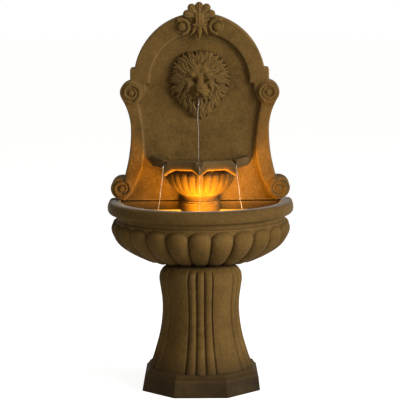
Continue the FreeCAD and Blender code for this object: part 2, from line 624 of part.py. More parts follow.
def lion_mask():
    """Mane, face and muzzle, flat against the sunk field, bored through the mouth."""
    wide, tall = D.mask_half_width, D.mask_half_height
    pieces = []
    for index, side in enumerate((-1, 1)):
        middle = (0, FIELD, MASK + (tall - wide) * side)
        pieces.append(cone(f"mane_base_{index}", middle, D.mane_foot, D.mane_crown, D.mask_depth,
                           Rotation(Vector(1, 0, 0), 90)))
    count = int(D.lock_count.value)
    for index in range(count):
        angle = 2 * math.pi * (index + 0.5) / count
        curl = angle + math.radians(D.lock_curl.value) * (1 if angle < math.pi else -1)
        inner = (wide * D.lock_start * math.sin(angle), FIELD - D.mask_depth,
                 MASK + tall * D.lock_start * math.cos(angle))
        outer = ((wide - D.lock_tip) * math.sin(curl), FIELD - D.lock_tip / 2,
                 MASK + (tall - D.lock_tip) * math.cos(curl))
        pieces.append(thumb(f"mane_lock_{index}", inner, outer, D.lock_root, D.lock_tip))

    def ball(name, x, forward, z, radius):
        pieces.append(solid("Sphere", name, (x, FIELD - forward, z), Radius=radius))

    skull_forward = D.face_depth - D.face_half
    ball("skull", 0, skull_forward, MASK + D.skull_rise, D.face_half)
    ball("jaw", 0, skull_forward, MASK - D.jaw_drop, D.jaw_radius)
    ball("muzzle", 0, D.muzzle_depth - D.muzzle_radius, MOUTH + D.muzzle_rise, D.muzzle_radius)
    ball("chin", 0, D.muzzle_depth - D.chin_setback, MOUTH - D.chin_drop, D.chin_radius)
    pieces.append(thumb("nose", (0, FIELD - D.face_depth, MASK + D.nose_rise),
                        (0, FIELD - D.muzzle_depth + D.nose_setback, MOUTH + D.nose_height),
                        D.nose_bridge, D.nose_tip))
    brow = MASK + D.brow_rise
    for index, side in enumerate((-1, 1)):
        pieces.append(thumb(f"brow_{index}", (D.brow_inner * side, FIELD - D.face_depth, brow),
                            (D.brow_outer * side, FIELD - D.face_depth + D.brow_sweep, brow + D.brow_lift),
                            D.brow_thick, D.brow_thin))
        ball(f"ear_{index}", D.ear_reach * side, D.mask_depth, MASK + D.ear_rise, D.ear_radius)
        ball(f"cheek_{index}", D.cheek_reach * side, D.cheek_forward, MOUTH + D.cheek_rise, D.cheek_radius)
    trimmed = cut("mask_trimmed", weld("mask_part", pieces), behind("mask_back", FIELD, MASK, wide + tall))
    bore = cylinder("mouth_bore", (0, FIELD - D.muzzle_depth - D.overcut, MOUTH), D.nozzle_radius + D.gap,
                    D.muzzle_depth + D.overcut * 2, ALONG_Y)
    node(cut("mask", trimmed, bore), "lion_mask")


def half_octagon(sketch, radius):
    """Half an octagon with a vertex in front, its ends carried straight back to the field."""
    corner, back = radius * OCTAGON_CORNER, D.field_recess
    outline(sketch, [(-radius, back), (-radius, 0), (-corner, -corner), (0, -radius),
                     (corner, -corner), (radius, 0), (radius, back)])


def upper_basin():
    body = new_body("bowl_casting", (0, FRAME, 0))
    rim_foot = BOWL_TOP - D.bowl_rim_height
    under_foot = rim_foot - D.under_rim_height
    for name, radius, foot, height in (
            ("bowl_rim", D.bowl_radius, rim_foot, D.bowl_rim_height),
            ("under_rim", D.bowl_radius - D.under_rim_inset, under_foot, D.under_rim_height)):
        plan = new_sketch(body, f"{name}_plan", "XY_Plane", foot)
        half_octagon(plan, radius)
        feature(body, "Pad", name, plan, Length=height)
    section = new_sketch(body, "bowl_section", "XZ_Plane")
    outline(section, [(0, RISER_TOP), (RISER_OUTER + D.bowl_foot_step, RISER_TOP), (D.bowl_belly, under_foot),
                      (0, under_foot)])
    half_turn(body, "bowl_belly", section)
    run_back(body, "bowl_back", section, D.field_recess)
    lobes(body, "flute", (D.bowl_belly - D.flute_inset, RISER_TOP + D.flute_rise), D.flute_radius,
          (D.bowl_belly - D.flute_tip_inset, RISER_TOP + D.flute_tip_rise), D.flute_tip_radius, D.flute_count)
    beak = new_sketch(body, "beak_section", "XZ_Plane", D.bowl_radius - D.bowl_wall)
    beak_half = D.spout_width / 2
    outline(beak, [(-beak_half, BOWL_TOP), (0, BOWL_TOP - D.spout_drop), (beak_half, BOWL_TOP)])
    lip = feature(body, "Pad", "beak", beak, Length=D.bowl_wall + D.spout_beak)
    spread_spouts(body, "beaks", lip)
    tray = new_sketch(body, "tray_plan", "XY_Plane", BOWL_TOP)
    half_octagon(tray, D.bowl_radius - D.bowl_wall)
    feature(body, "Pocket", "tray", tray, Length=D.tray_depth)
    well = new_sketch(body, "well_section", "XZ_Plane")
    inner, well_floor = D.bowl_belly - D.bowl_shell, RISER_TOP + D.bowl_floor
    outline(well, [(0, well_floor), (inner - D.bowl_floor_inset, well_floor, D.bowl_bow),
                   (inner, BOWL_TOP - D.tray_depth), (inner, BOWL_TOP), (0, BOWL_TOP)])
    half_turn(body, "well", well, "Groove")
    notch = new_sketch(body, "notch_section", "XZ_Plane", D.bowl_radius + D.spout_beak + D.overcut)
    side, top = D.spout_groove / 2, BOWL_TOP + D.overcut
    outline(notch, [(-side, BOWL_TOP), (0, BOWL_TOP - D.spout_depth), (side, BOWL_TOP),
                    (side, top), (-side, top)])
    groove = feature(body, "Pocket", "notch", notch, Length=D.spout_beak + D.bowl_wall + D.overcut * 2)
    spread_spouts(body, "notches", groove)
    node(cut("bowl", body, *dowel_holes("bowl", bowl_dowels())), "upper_basin")


def spread_spouts(body, name, original):
    """The same feature at the vertex on either side of the front one."""
    for side, reversed_way in (("right", False), ("left", True)):
        fan_out(body, f"{name}_{side}", original, 2, SPOUT_ANGLE, reversed_way)
        doc.recompute()


def half_ring(name, outer_section, foot, top):
    """A half-round casting with a straight run back to the wall behind it, hollow inside."""
    body = new_body(name, (0, FRAME, 0))
    section = new_sketch(body, f"{name}_section", "XZ_Plane")
    outline(section, outer_section)
    half_turn(body, f"{name}_front", section)
    run_back(body, f"{name}_sides", section, D.field_recess)
    hollow = new_sketch(body, f"{name}_hollow_section", "XZ_Plane")
    outline(hollow, [(0, foot), (RISER_INNER, foot), (RISER_INNER, top), (0, top)])
    half_turn(body, f"{name}_hollow", hollow, "Groove")
    clear = box(f"{name}_clear", (-RISER_INNER, FRAME - D.overcut, foot),
                (RISER_INNER * 2, D.field_recess + D.overcut, top - foot))
    return cut(f"{name}_shell", body, clear)


def riser():
    outer, lip, ease = RISER_OUTER, RISER_OUTER + D.riser_lip, D.riser_taper
    lip_foot = RISER_TOP - D.riser_lip_height
    ring = half_ring("riser_ring", [(0, RIM), (lip - ease, RIM), (outer, lip_foot - D.riser_cove),
                                    (outer, lip_foot - ease), (lip, lip_foot + ease), (lip, RISER_TOP),
                                    (0, RISER_TOP)], RIM, RISER_TOP)
    node(ring, "riser")


def pump_cover():
    outer, lip = RISER_OUTER, RISER_OUTER + D.riser_lip
    foot_top = FLOOR + D.cover_foot
    section = [(0, FLOOR), (lip, FLOOR), (lip, foot_top), (outer, foot_top + D.cover_cove),
               (outer, RIM - D.riser_cove), (outer + D.riser_taper, RIM), (0, RIM)]
    shell = half_ring("cover_ring", section, FLOOR, RIM)
    inlets = []
    for index, x in enumerate((-D.inlet_x, D.inlet_x)):
        inlets.append(box(f"inlet_{index}", (x - D.inlet_width / 2, FRAME - lip - D.overcut, FLOOR),
                          (D.inlet_width, lip + D.overcut, D.inlet_height)))
    node(cut("cover", shell, *inlets), "pump_cover")


def rounded_block(name, y, width, height, length, corner):
    """A block along the pump's depth with rounded long edges."""
    body = new_body(name, (0, y, PUMP_MIDDLE))
    face = new_sketch(body, f"{name}_face", "XZ_Plane")
    w, h = width / 2, height / 2
    outline(face, [(corner - w, -h), (w - corner, -h, corner), (w, corner - h), (w, h - corner, corner),
                   (w - corner, h), (corner - w, h, corner), (-w, h - corner), (-w, corner - h, corner)])
    feature(body, "Pad", f"{name}_block", face, Length=length, Reversed=True)
    return body


def pump_rod(name, y, radius, length):
    """A cylinder on the pump's own axis."""
    return cylinder(name, (0, y, PUMP_MIDDLE), radius, length, ALONG_Y)


def seal_ring(name):
    """The ring between motor and chamber, halfway through the chamber's wall."""
    return solid("Torus", name, (0, PUMP_JOINT, PUMP_MIDDLE), ALONG_Y,
                 Radius1=(D.chamber_bore + D.pump_width / 2) / 2, Radius2=D.seal_wire)


def pump():
    wide, tall, corner = D.pump_width, D.pump_height, D.pump_corner
    block = rounded_block("motor_block", PUMP_JOINT, wide, tall, D.motor_length, corner)
    bore_length = D.rotor_length + D.rotor_gap
    rear_bush = PUMP_JOINT + bore_length
    front_bush = PUMP_INTAKE - D.bush_length
    rotor_well = pump_rod("rotor_well", PUMP_JOINT, D.rotor_radius + D.rotor_gap, bore_length)
    bush_seat = pump_rod("rear_bush_seat", rear_bush, D.bush_radius, D.bush_length)
    node(cut("motor", block, rotor_well, bush_seat, seal_ring("motor_seal_seat")), "pump_motor")
    node(seal_ring("seal"), "chamber_seal")

    shell = rounded_block("chamber_block", PUMP_INTAKE, wide, tall, D.chamber_length, corner)
    top = PUMP_MIDDLE + tall / 2
    nipple = cylinder("nipple", (0, PUMP_OUTLET, top - D.nipple_root), D.hose_bore - D.hose_fit,
                      D.nipple_length + D.nipple_root)
    outlet = cylinder("outlet", (0, PUMP_OUTLET, PUMP_MIDDLE), D.hose_bore - D.nipple_wall,
                      tall / 2 + D.nipple_length + D.overcut)
    cavity = pump_rod("cavity", PUMP_INTAKE, D.chamber_bore, D.chamber_length)
    node(cut("chamber", fuse("chamber_shell", shell, nipple), outlet, cavity, seal_ring("chamber_seal_seat")),
         "pump_chamber")

    wall, slot = D.grille_wall, D.grille_slot
    cap = rounded_block("grille_block", PUMP_FRONT, wide, tall, D.grille_length, corner)
    hollow = rounded_block("grille_hollow", PUMP_FRONT + wall, wide - wall * 2, tall - wall * 2,
                           D.grille_length, corner - wall)
    boss = pump_rod("bush_boss", PUMP_FRONT, D.bush_radius + D.boss_wall, D.grille_length)
    bush_hole = pump_rod("front_bush_seat", front_bush, D.bush_radius, D.bush_length)
    stem_hole = pump_rod("stem_hole", PUMP_FRONT, D.dial_stem + D.running_fit, wall + D.stem_clear)
    slots = []
    for index, step in enumerate((-3, -2, 2, 3)):
        at = (slot * (2 * step) - slot / 2, PUMP_FRONT - D.overcut, PUMP_MIDDLE - tall / 2 + corner)
        slots.append(box(f"slot_{index}", at, (slot, wall + D.overcut, tall - corner * 2)))
    grille = fuse("grille_shell", cut("grille_cup", cap, hollow, *slots), boss)
    node(cut("grille", grille, bush_hole, stem_hole), "intake_grille")

    dial_back = PUMP_FRONT - D.gap
    dial_front = dial_back - D.dial_thick
    stem = pump_rod("dial_stem_pin", dial_back, D.dial_stem, wall + D.gap)
    disc = pump_rod("dial_disc", dial_front, D.dial_radius, D.dial_thick)
    grip_half = D.dial_radius - D.grip_width
    grip = box("dial_grip", (-grip_half, dial_front - D.grip_rise, PUMP_MIDDLE - D.grip_width / 2),
               (grip_half * 2, D.grip_rise + D.dial_thick, D.grip_width))
    node(fuse("dial", stem, disc, grip), "flow_dial")

    shaft_length = rear_bush + D.bush_length - front_bush
    node(pump_rod("shaft", front_bush, D.shaft_radius, shaft_length), "rotor_shaft")
    bushes = [tube(f"bush_{end}", (0, y, PUMP_MIDDLE), D.bush_radius, D.shaft_radius, D.bush_length, ALONG_Y)
              for end, y in (("front", front_bush), ("rear", rear_bush))]
    node(group("bushes", bushes), "shaft_bushes")
    rotor()

    feet = []
    inset = D.foot_radius
    spots = [(x, y) for y in (PUMP_JOINT + inset, PUMP_REAR - inset)
             for x in (inset - wide / 2, wide / 2 - inset)]
    for index, (x, y) in enumerate(spots):
        half = D.foot_height / 2
        cup = cone(f"cup_{index}", (x, y, FLOOR), D.foot_radius, D.foot_radius / 2, half)
        feet.append(fuse(f"foot_{index}", cup, cylinder(f"foot_stem_{index}", (x, y, FLOOR + half),
                                                        D.foot_radius / 2, half)))
    node(group("feet", feet), "suction_feet")
    node(gland("pump_cable_gland", (0, PUMP_REAR - D.motor_length / 2, top), UPRIGHT), "pump_gland")


def rotor():
    """The ring magnet and the bladed wheel in front of it, running on the fixed shaft."""
    running = D.shaft_radius + D.running_fit
    magnet_front = PUMP_JOINT + D.rotor_gap / 2
    node(tube("magnet", (0, magnet_front, PUMP_MIDDLE), D.rotor_radius, running, D.rotor_length, ALONG_Y),
         "rotor_magnet")
    wheel_front = PUMP_INTAKE + D.gap
    hub = pump_rod("hub", wheel_front, D.bush_radius, magnet_front - wheel_front)
    plate_front = magnet_front - D.rotor_gap - D.plate_thick
    plate = pump_rod("wheel_plate", plate_front, D.impeller_radius, D.plate_thick)
    blades = []
    count = int(D.blade_count.value)
    slide = D.blade_thick / 2
    for index in range(count):
        turn = Rotation(Vector(0, 1, 0), 360 * index / count)
        offset = turn.multVec(Vector(1, 0, 0))
        blade = box(f"blade_{index}", (0, 0, 0), (D.blade_thick, D.impeller_width, D.impeller_radius))
        edge = plate_front - D.impeller_width
        place(blade, (slide * -offset.x, edge, PUMP_MIDDLE - slide * offset.z), turn)
        blades.append(blade)
    bore = pump_rod("wheel_bore", wheel_front - D.overcut, running, D.chamber_length + D.overcut * 2)
    node(cut("impeller_wheel", fuse("wheel", hub, plate, *blades), bore), "impeller")


def gland(name, at, turn):
    """A tapered cable gland on a round foot, bored for the lead."""
    length = D.gland_length
    foot = cylinder(f"{name}_foot", at, D.gland_radius, length / 3, turn)
    cone_radius = (D.gland_radius + D.gland_bore) / 2
    sleeve = cone(f"{name}_sleeve", at, D.gland_radius, cone_radius, length, turn)
    bore = cylinder(f"{name}_bore", at, D.gland_bore, length, turn)
    return cut(name, fuse(f"{name}_body", foot, sleeve), bore)


def hose_corners():
    """The hose's middle line: up from the pump, back through the panel, up the chase, on to the mouth."""
    turn = RIM - D.hose_turn_drop
    top_turn = turn + (HOSE_LINE - PUMP_OUTLET) * D.hose_slope
    middle = sized(0)
    return [(middle, PUMP_OUTLET, PUMP_MIDDLE + D.pump_height / 2), (middle, PUMP_OUTLET, turn),
            (middle, HOSE_LINE, top_turn), (middle, HOSE_LINE, MOUTH), (middle, HOSE_END, MOUTH)]


def rounded_path(corners, bend):
    """Straight runs joined by tangent arcs."""
    points = [Vector(*(size.value for size in corner)) for corner in corners]
    edges, last = [], points[0]
    for before, corner, after in zip(points, points[1:], points[2:]):
        back, onward = (before - corner).normalize(), (after - corner).normalize()
        half_angle = (math.pi - back.getAngle(onward)) / 2
        reach = bend * math.tan(half_angle)
        enter, leave = corner + back * reach, corner + onward * reach
        inward = (back + onward).normalize()
        crown = corner + inward * (bend / math.cos(half_angle) - bend)
        edges.append(Part.LineSegment(last, enter).toShape())
        edges.append(Part.Arc(enter, crown, leave).toShape())
        last = leave
    edges.append(Part.LineSegment(last, points[-1]).toShape())
    return Part.Wire(edges)


def supply_hose():
    corners = hose_corners()
    path = rounded_path(corners, D.hose_bend.value)
    start = path.Vertexes[0].Point
    walls = []
    for radius in (D.hose_radius.value, D.hose_bore.value):
        ring = Part.Wire(Part.makeCircle(radius, start, Vector(0, 0, 1)))
        walls.append(path.makePipeShell([ring], True, False))
    expected = math.pi * (D.hose_radius.value ** 2 - D.hose_bore.value ** 2) * path.Length
    hose = doc.addObject("Part::Feature", "hose")
    hose.Shape = walls[0].cut(walls[1])
    print(f"hose length {path.Length:.1f}, volume {hose.Shape.Volume:.0f} of {expected:.0f}")
    node(hose, "supply_hose")
    clamp_foot = corners[0][2] + D.clamp_inset
    outer, inner = D.hose_radius + D.clamp_thick, D.hose_radius
    clamps = [tube("pump_clamp", (0, PUMP_OUTLET, clamp_foot), outer, inner, D.clamp_width),
              tube("mouth_clamp", (0, HOSE_END, MOUTH), outer, inner, D.clamp_width, ALONG_Y)]
    node(group("clamps", clamps), "hose_clamps")
    straps = [box(f"strap_{name}", (-D.chase_width / 2, HOSE_LINE + D.hose_radius, RIM + rise),
                  (D.chase_width, D.strap_thick, D.strap_height))
              for name, rise in (("low", D.strap_low), ("high", D.strap_high))]
    node(group("straps", straps), "hose_straps")


def spout():
    """A brass pipe through the panel, its end set back in the lion's mouth, held by a nut in the chase."""
    front = FIELD - D.muzzle_depth + D.nozzle_recess
    barrel = cylinder("barrel", (0, front, MOUTH), D.nozzle_radius, CHASE + D.nut_thick - front, ALONG_Y)
    tail_length = HOSE_END + D.nozzle_tail - CHASE
    tail = cylinder("tail", (0, CHASE, MOUTH), D.hose_bore - D.hose_fit, tail_length, ALONG_Y)
    bore = cylinder("pipe_bore", (0, front - D.overcut, MOUTH), D.nozzle_bore, BACK - front, ALONG_Y)
    node(cut("nozzle", fuse("nozzle_body", barrel, tail), bore), "spout_nozzle")
    hexagon = solid("Prism", "hexagon", (0, CHASE, MOUTH), ALONG_Y,
                    Circumradius=D.nut_across / 2 / math.cos(math.pi / 6), Height=D.nut_thick)
    node(cut("nut", hexagon, cylinder("nut_bore", (0, CHASE, MOUTH), D.nozzle_radius, D.nut_thick, ALONG_Y)),
         "nozzle_nut")


def lamp():
    y, pivot = D.lamp_y, FLOOR + D.lamp_rise
    base_top = FLOOR + D.lamp_base_height
    node(cone("base_disc", (0, y, FLOOR), D.lamp_base_radius, D.lamp_base_radius - D.lamp_base_taper,
              D.lamp_base_height), "lamp_base")

    thick, wide = D.bracket_thick, D.bracket_width
    half = D.lamp_radius + D.bracket_gap + thick
    arms = []
    for index, left in enumerate((-half, half - thick)):
        arms.append(box(f"arm_{index}", (left, y - wide / 2, base_top), (thick, wide, pivot - base_top)))
        arms.append(cylinder(f"arm_end_{index}", (left, y, pivot), wide / 2, thick, ALONG_X))
    bridge = box("bridge", (-half, y - wide / 2, base_top), (half * 2, wide, thick))
    hole = cylinder("arm_holes", (-half - D.overcut, y, pivot), D.pivot_radius, (half + D.overcut) * 2,
                    ALONG_X)
    node(cut("bracket", fuse("stirrup", bridge, *arms), hole), "lamp_bracket")

    def can(name, foot, radius, height):
        return cylinder(name, (0, y, foot), radius, height)

    bottom, top, inner = pivot - D.lamp_length / 2, pivot + D.lamp_length / 2, D.lamp_radius - D.lamp_wall
    lens_foot = top - D.lens_thick
    shelf = top - D.board_drop
    hollows = [can("can_room", bottom + D.lamp_wall, inner - D.lamp_ledge, D.lamp_length),
               can("lens_seat", lens_foot - D.gasket_thick, inner, D.lamp_length),
               can("board_seat", shelf, inner - D.board_ledge, D.lamp_length),
               can("lead_way", bottom - D.overcut, D.gland_bore, D.lamp_wall + D.overcut * 2),
               cylinder("pivot_holes", (-half, y, pivot), D.pivot_radius + D.running_fit, half * 2, ALONG_X)]
    for index in range(int(D.fin_count.value)):
        fin_foot = bottom + D.fin_pitch * (index + 1)
        hollows.append(tube(f"fin_gap_{index}", (0, y, fin_foot), D.lamp_radius + D.overcut,
                            D.lamp_radius - D.fin_depth, D.fin_pitch / 2))
    node(cut("housing", can("can", bottom, D.lamp_radius, D.lamp_length), *hollows), "lamp_housing")
    seated = inner - D.seat_fit
    node(tube("gasket", (0, y, lens_foot - D.gasket_thick), seated, seated - D.gasket_width, D.gasket_thick),
         "lamp_gasket")
    node(can("lens", lens_foot, seated, D.lens_thick), "lamp_lens")
    node(tube("bezel", (0, y, top), D.lamp_radius, D.lamp_radius - D.bezel_width, D.bezel_rise), "lamp_bezel")
    node(can("board", shelf, seated - D.board_ledge, D.board_thick), "led_board")
    node(gland("lamp_cable_gland", (0, y, bottom), Rotation(Vector(1, 0, 0), 180)), "lamp_gland")

    knobs = []
    for index, side in enumerate((-1, 1)):
        turn = Rotation(Vector(0, 1, 0), -90 * side)
        face = ((half + D.knob_thick) * side, y, pivot)
        head = cylinder(f"knob_head_{index}", face, D.knob_radius, D.knob_thick, turn)
        screw = cylinder(f"knob_pin_{index}", (half * side, y, pivot), D.pivot_radius,
                         half - inner + D.lamp_ledge / 2, turn)
        knobs.append(fuse(f"knob_{index}", head, screw))
    node(group("knobs", knobs), "lamp_knobs")


def drain_stopper():
    x, seat = D.stopper_x, FLOOR + D.gap
    foot = seat - D.stopper_length
    flange = cylinder("flange", (x, 0, seat), D.stopper_flange, D.stopper_flange_height)
    shank = cylinder("shank", (x, 0, foot), D.stopper_radius, D.stopper_length)
    ring_z = seat + D.stopper_flange_height + D.stopper_ring - D.stopper_wire
    ring = solid("Torus", "pull_ring", (x, 0, ring_z), Rotation(Vector(1, 0, 0), 90), Radius1=D.stopper_ring,
                 Radius2=D.stopper_wire)
    height = D.stopper_length + D.stopper_flange_height
    leads = [cylinder(f"lead_hole_{index}", (x, y, foot), D.lead_hole, height)
             for index, y in enumerate((-D.stopper_radius / 2, D.stopper_radius / 2))]
    node(cut("stopper", fuse("stopper_body", flange, shank, ring), *leads), "drain_stopper")


def dowels():
    pins = [cylinder(f"{name}_pin", at, D.dowel_radius, D.dowel_length, turn)
            for name, at, turn in ledge_dowels() + bowl_dowels()]
    node(group("pins", pins), "locating_pins")
    name, at, turn = crest_dowel()
    node(cylinder(f"{name}_dowel_pin", at, D.dowel_radius, D.dowel_length, turn), "crest_pin")


def main():
    for build_piece in (pedestal, lower_basin, back_panel, shell_crest, lion_mask, upper_basin, riser,
                        pump_cover, pump, supply_hose, spout, lamp, drain_stopper, dowels):
        build_piece()
    doc.recompute()
    faults = [item.Name for item in doc.Objects if "Invalid" in item.State or "Error" in item.State]
    for item in NODES:
        if item.Shape.isNull() or not item.Shape.isValid() or not item.Shape.Solids:
            faults.append(item.Label)
    if faults:
        raise RuntimeError(f"failed: {faults}")
    os.makedirs("parts", exist_ok=True)
    for item in NODES:
        item.Shape.exportStep(f"parts/{item.Label}.step")
        extent = item.Shape.BoundBox
        print(f"{item.Label}: {len(item.Shape.Solids)} solids, {item.Shape.Volume / 1000:.1f} cm3, "
              f"x {extent.XMin:.0f}..{extent.XMax:.0f} y {extent.YMin:.0f}..{extent.YMax:.0f} "
              f"z {extent.ZMin:.0f}..{extent.ZMax:.0f}")


main()
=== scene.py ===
import json
import math

import bmesh
import bpy
import numpy as np
from mathutils import Euler, Matrix, Vector


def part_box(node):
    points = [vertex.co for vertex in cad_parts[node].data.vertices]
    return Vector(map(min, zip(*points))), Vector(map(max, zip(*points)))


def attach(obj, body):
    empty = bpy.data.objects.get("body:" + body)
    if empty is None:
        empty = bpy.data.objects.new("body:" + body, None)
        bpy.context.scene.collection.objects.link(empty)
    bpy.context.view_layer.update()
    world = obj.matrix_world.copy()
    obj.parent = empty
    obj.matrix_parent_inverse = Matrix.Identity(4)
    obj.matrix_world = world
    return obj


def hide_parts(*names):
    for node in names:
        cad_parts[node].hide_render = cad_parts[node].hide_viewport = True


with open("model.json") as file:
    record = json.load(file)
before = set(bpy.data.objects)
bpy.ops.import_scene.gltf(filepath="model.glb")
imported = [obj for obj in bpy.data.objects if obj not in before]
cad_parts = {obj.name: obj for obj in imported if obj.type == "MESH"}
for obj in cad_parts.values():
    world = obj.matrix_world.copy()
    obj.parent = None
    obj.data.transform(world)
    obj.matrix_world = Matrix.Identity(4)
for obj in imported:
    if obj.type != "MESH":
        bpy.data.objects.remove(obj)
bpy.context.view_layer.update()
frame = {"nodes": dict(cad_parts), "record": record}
NODES = frame["nodes"]
scene = bpy.context.scene
scene.view_settings.view_transform = "Standard"

# Levels and planes of the castings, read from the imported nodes.
# Sizes are in metres, and those of the carved reliefs in millimetres.
FLOOR_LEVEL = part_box("pump_cover")[0].z
RIM_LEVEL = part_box("lower_basin")[1].z
BOWL_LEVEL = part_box("upper_basin")[1].z
FIELD_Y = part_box("riser")[1].y
LENS_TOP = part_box("lamp_lens")[1].z
LAMP_Y = (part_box("lamp_lens")[0].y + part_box("lamp_lens")[1].y) / 2

# Lobes under the lower basin and flutes under the upper one: spaces between them round half a circle.
LOBE_SPACES = 12
QUARTER_TURN = math.pi / 2

# Lower basin: the crest of its lobes as (level, radius), its neck and hollow as (radius, level), then sizes.
UNDERSIDE = ((0.472, 0.212), (0.478, 0.224), (0.490, 0.249), (0.505, 0.276), (0.525, 0.306), (0.550, 0.331),
             (0.575, 0.3445), (0.600, 0.3505), (0.620, 0.3535), (0.630, 0.3545))
NECK = ((0.3270, 0.629), (0.3275, 0.634), (0.3295, 0.641), (0.332, 0.647), (0.3345, 0.651))
HOLLOW = ((0.306, 0.680), (0.300, 0.655), (0.292, 0.628), (0.279, 0.600), (0.260, 0.574), (0.238, 0.554),
          (0.215, 0.543))
FLOOR_RINGS = (0.195, 0.15, 0.10, 0.05)
SEAT_RADIUS = 0.150
BELLY_RADIUS = 0.345
LOBE_DEPTH = 0.025
LOBE_SHOULDER = 0.580
LOBE_TOP = 0.6185
LOBE_TAIL = 0.485
LOBE_TAIL_LENGTH = 0.021
BEAD_RADIUS = 0.336
BEAD_REACH = 0.0258
BEAD_LEVEL = 0.6775
BEAD_HALF_HEIGHT = 0.0245
MOUTH_RADIUS = 0.3095
RIM_FOOT = 0.652
DRAIN_RADIUS = 0.0174

# Upper basin
BOWL_RADIUS = 0.188
BOWL_FOOT = 0.734
NOTCH_DEPTH = 0.026
NOTCH_HALF_WIDTH = 0.0125
BEAK_HALF_WIDTH = 0.033
BEAK_DROP = 0.022
BEAK_JUT = 0.008
FLUTE_SHOULDER = 0.804
FLUTE_TOP = 0.8285

# Riser: its outside as (share of its height, distance in from its widest), then its inner radius.
RISER_PROFILE = ((0.0, 0.0082), (0.02, 0.0075), (0.09, 0.0075), (0.11, 0.0085), (0.2, 0.0110), (0.35, 0.0132),
                 (0.5, 0.0130), (0.60, 0.0095), (0.66, 0.0050), (0.69, 0.0025), (0.70, 0.0008), (0.72, 0.0),
                 (1.0, 0.0))
RISER_INSIDE = 0.03

# Pedestal: the column as (level, half width), then sizes.
COLUMN = ((0.081, 0.190), (0.107, 0.179), (0.154, 0.164), (0.202, 0.151), (0.249, 0.1425), (0.297, 0.138),
          (0.345, 0.139), (0.390, 0.145), (0.425, 0.149), (0.442, 0.147), (0.455, 0.142), (0.465, 0.132),
          (0.472, 0.118), (0.475, 0.100))
COLUMN_GROW = 1.03
REED_GROUPS = 5
REED_RECESS = 0.0075
REED_CROWN = 0.0055
PANEL_SWELL = 0.004
REEDS_END = 0.448
REEDS_END_LENGTH = 0.021
PLINTH_HALF = 0.2245
TIER_HALF = 0.207
FACET_HALF = 0.1005
FACET_AT = 0.222

# Water
WATER_IOR = 1.33
LOW_POOL_DROP = 0.036
BOWL_POOL_DROP = 0.009
LOW_POOL_RADIUS = 0.3045
BOWL_POOL_RADIUS = 0.167
POOL_DEPTH = 0.002

# Volutes on the panel: how far out and how high their middles are.
LOW_SCROLL = (0.305, 0.752)
TOP_SCROLL = (0.264, 1.124)

WHITE = (1.0, 1.0, 1.0, 1.0)


def linear(red, green, blue):
    """A display colour, 0 to 255, as linear light."""
    def one(level):
        level /= 255
        return level / 12.92 if level <= 0.04045 else ((level + 0.055) / 1.055) ** 2.4
    return (one(red), one(green), one(blue), 1.0)


class Shader:
    """A material's node tree with short calls for the nodes used here."""

    def __init__(self, name):
        self.material = bpy.data.materials.new(name)
        self.material.use_nodes = True
        self.tree = self.material.node_tree
        self.principled = self.tree.nodes["Principled BSDF"]
        self.place = self.add("ShaderNodeTexCoord").outputs["Object"]

    def add(self, kind, inputs=None, **settings):
        made = self.tree.nodes.new(kind)
        for key, value in settings.items():
            setattr(made, key, value)
        for key, value in (inputs or {}).items():
            self.put(made.inputs[key], value)
        return made

    def put(self, socket, value):
        if isinstance(value, bpy.types.NodeSocket):
            self.tree.links.new(value, socket)
        else:
            socket.default_value = value

    def set(self, **inputs):
        for key, value in inputs.items():
            self.put(self.principled.inputs[key.replace("_", " ")], value)

    def noise(self, scale, detail=4.0, rough=0.6, vector=None):
        inputs = {"Vector": vector or self.place, "Scale": scale, "Detail": detail, "Roughness": rough}
        return self.add("ShaderNodeTexNoise", inputs).outputs["Fac"]

    def stretched(self, scale):
        return self.add("ShaderNodeMapping", {"Vector": self.place, "Scale": scale}).outputs["Vector"]

    def ramp(self, factor, *stops):
        made = self.add("ShaderNodeValToRGB", {"Fac": factor})
        elements = made.color_ramp.elements
        while len(elements) < len(stops):
            elements.new(0.5)
        for element, (position, colour) in zip(elements, stops):
            element.position = position
            element.color = colour if len(colour) == 4 else (*colour, 1)
        return made.outputs["Color"]

    def span(self, factor, low, high, to_low=0.0, to_high=1.0):
        inputs = {"Value": factor, "From Min": low, "From Max": high, "To Min": to_low, "To Max": to_high}
        return self.add("ShaderNodeMapRange", inputs).outputs["Result"]

    def mix(self, factor, first, second):
        made = self.add("ShaderNodeMix", data_type="RGBA")
        self.put(made.inputs["Factor"], factor)
        self.put(made.inputs["A"], first)
        self.put(made.inputs["B"], second)
        return made.outputs["Result"]

    def math(self, operation, first, second):
        made = self.add("ShaderNodeMath", operation=operation)
        self.put(made.inputs[0], first)
        self.put(made.inputs[1], second)
        return made.outputs["Value"]

    def bump(self, height, strength, distance):
        inputs = {"Height": height, "Strength": strength, "Distance": distance}
        return self.add("ShaderNodeBump", inputs).outputs["Normal"]


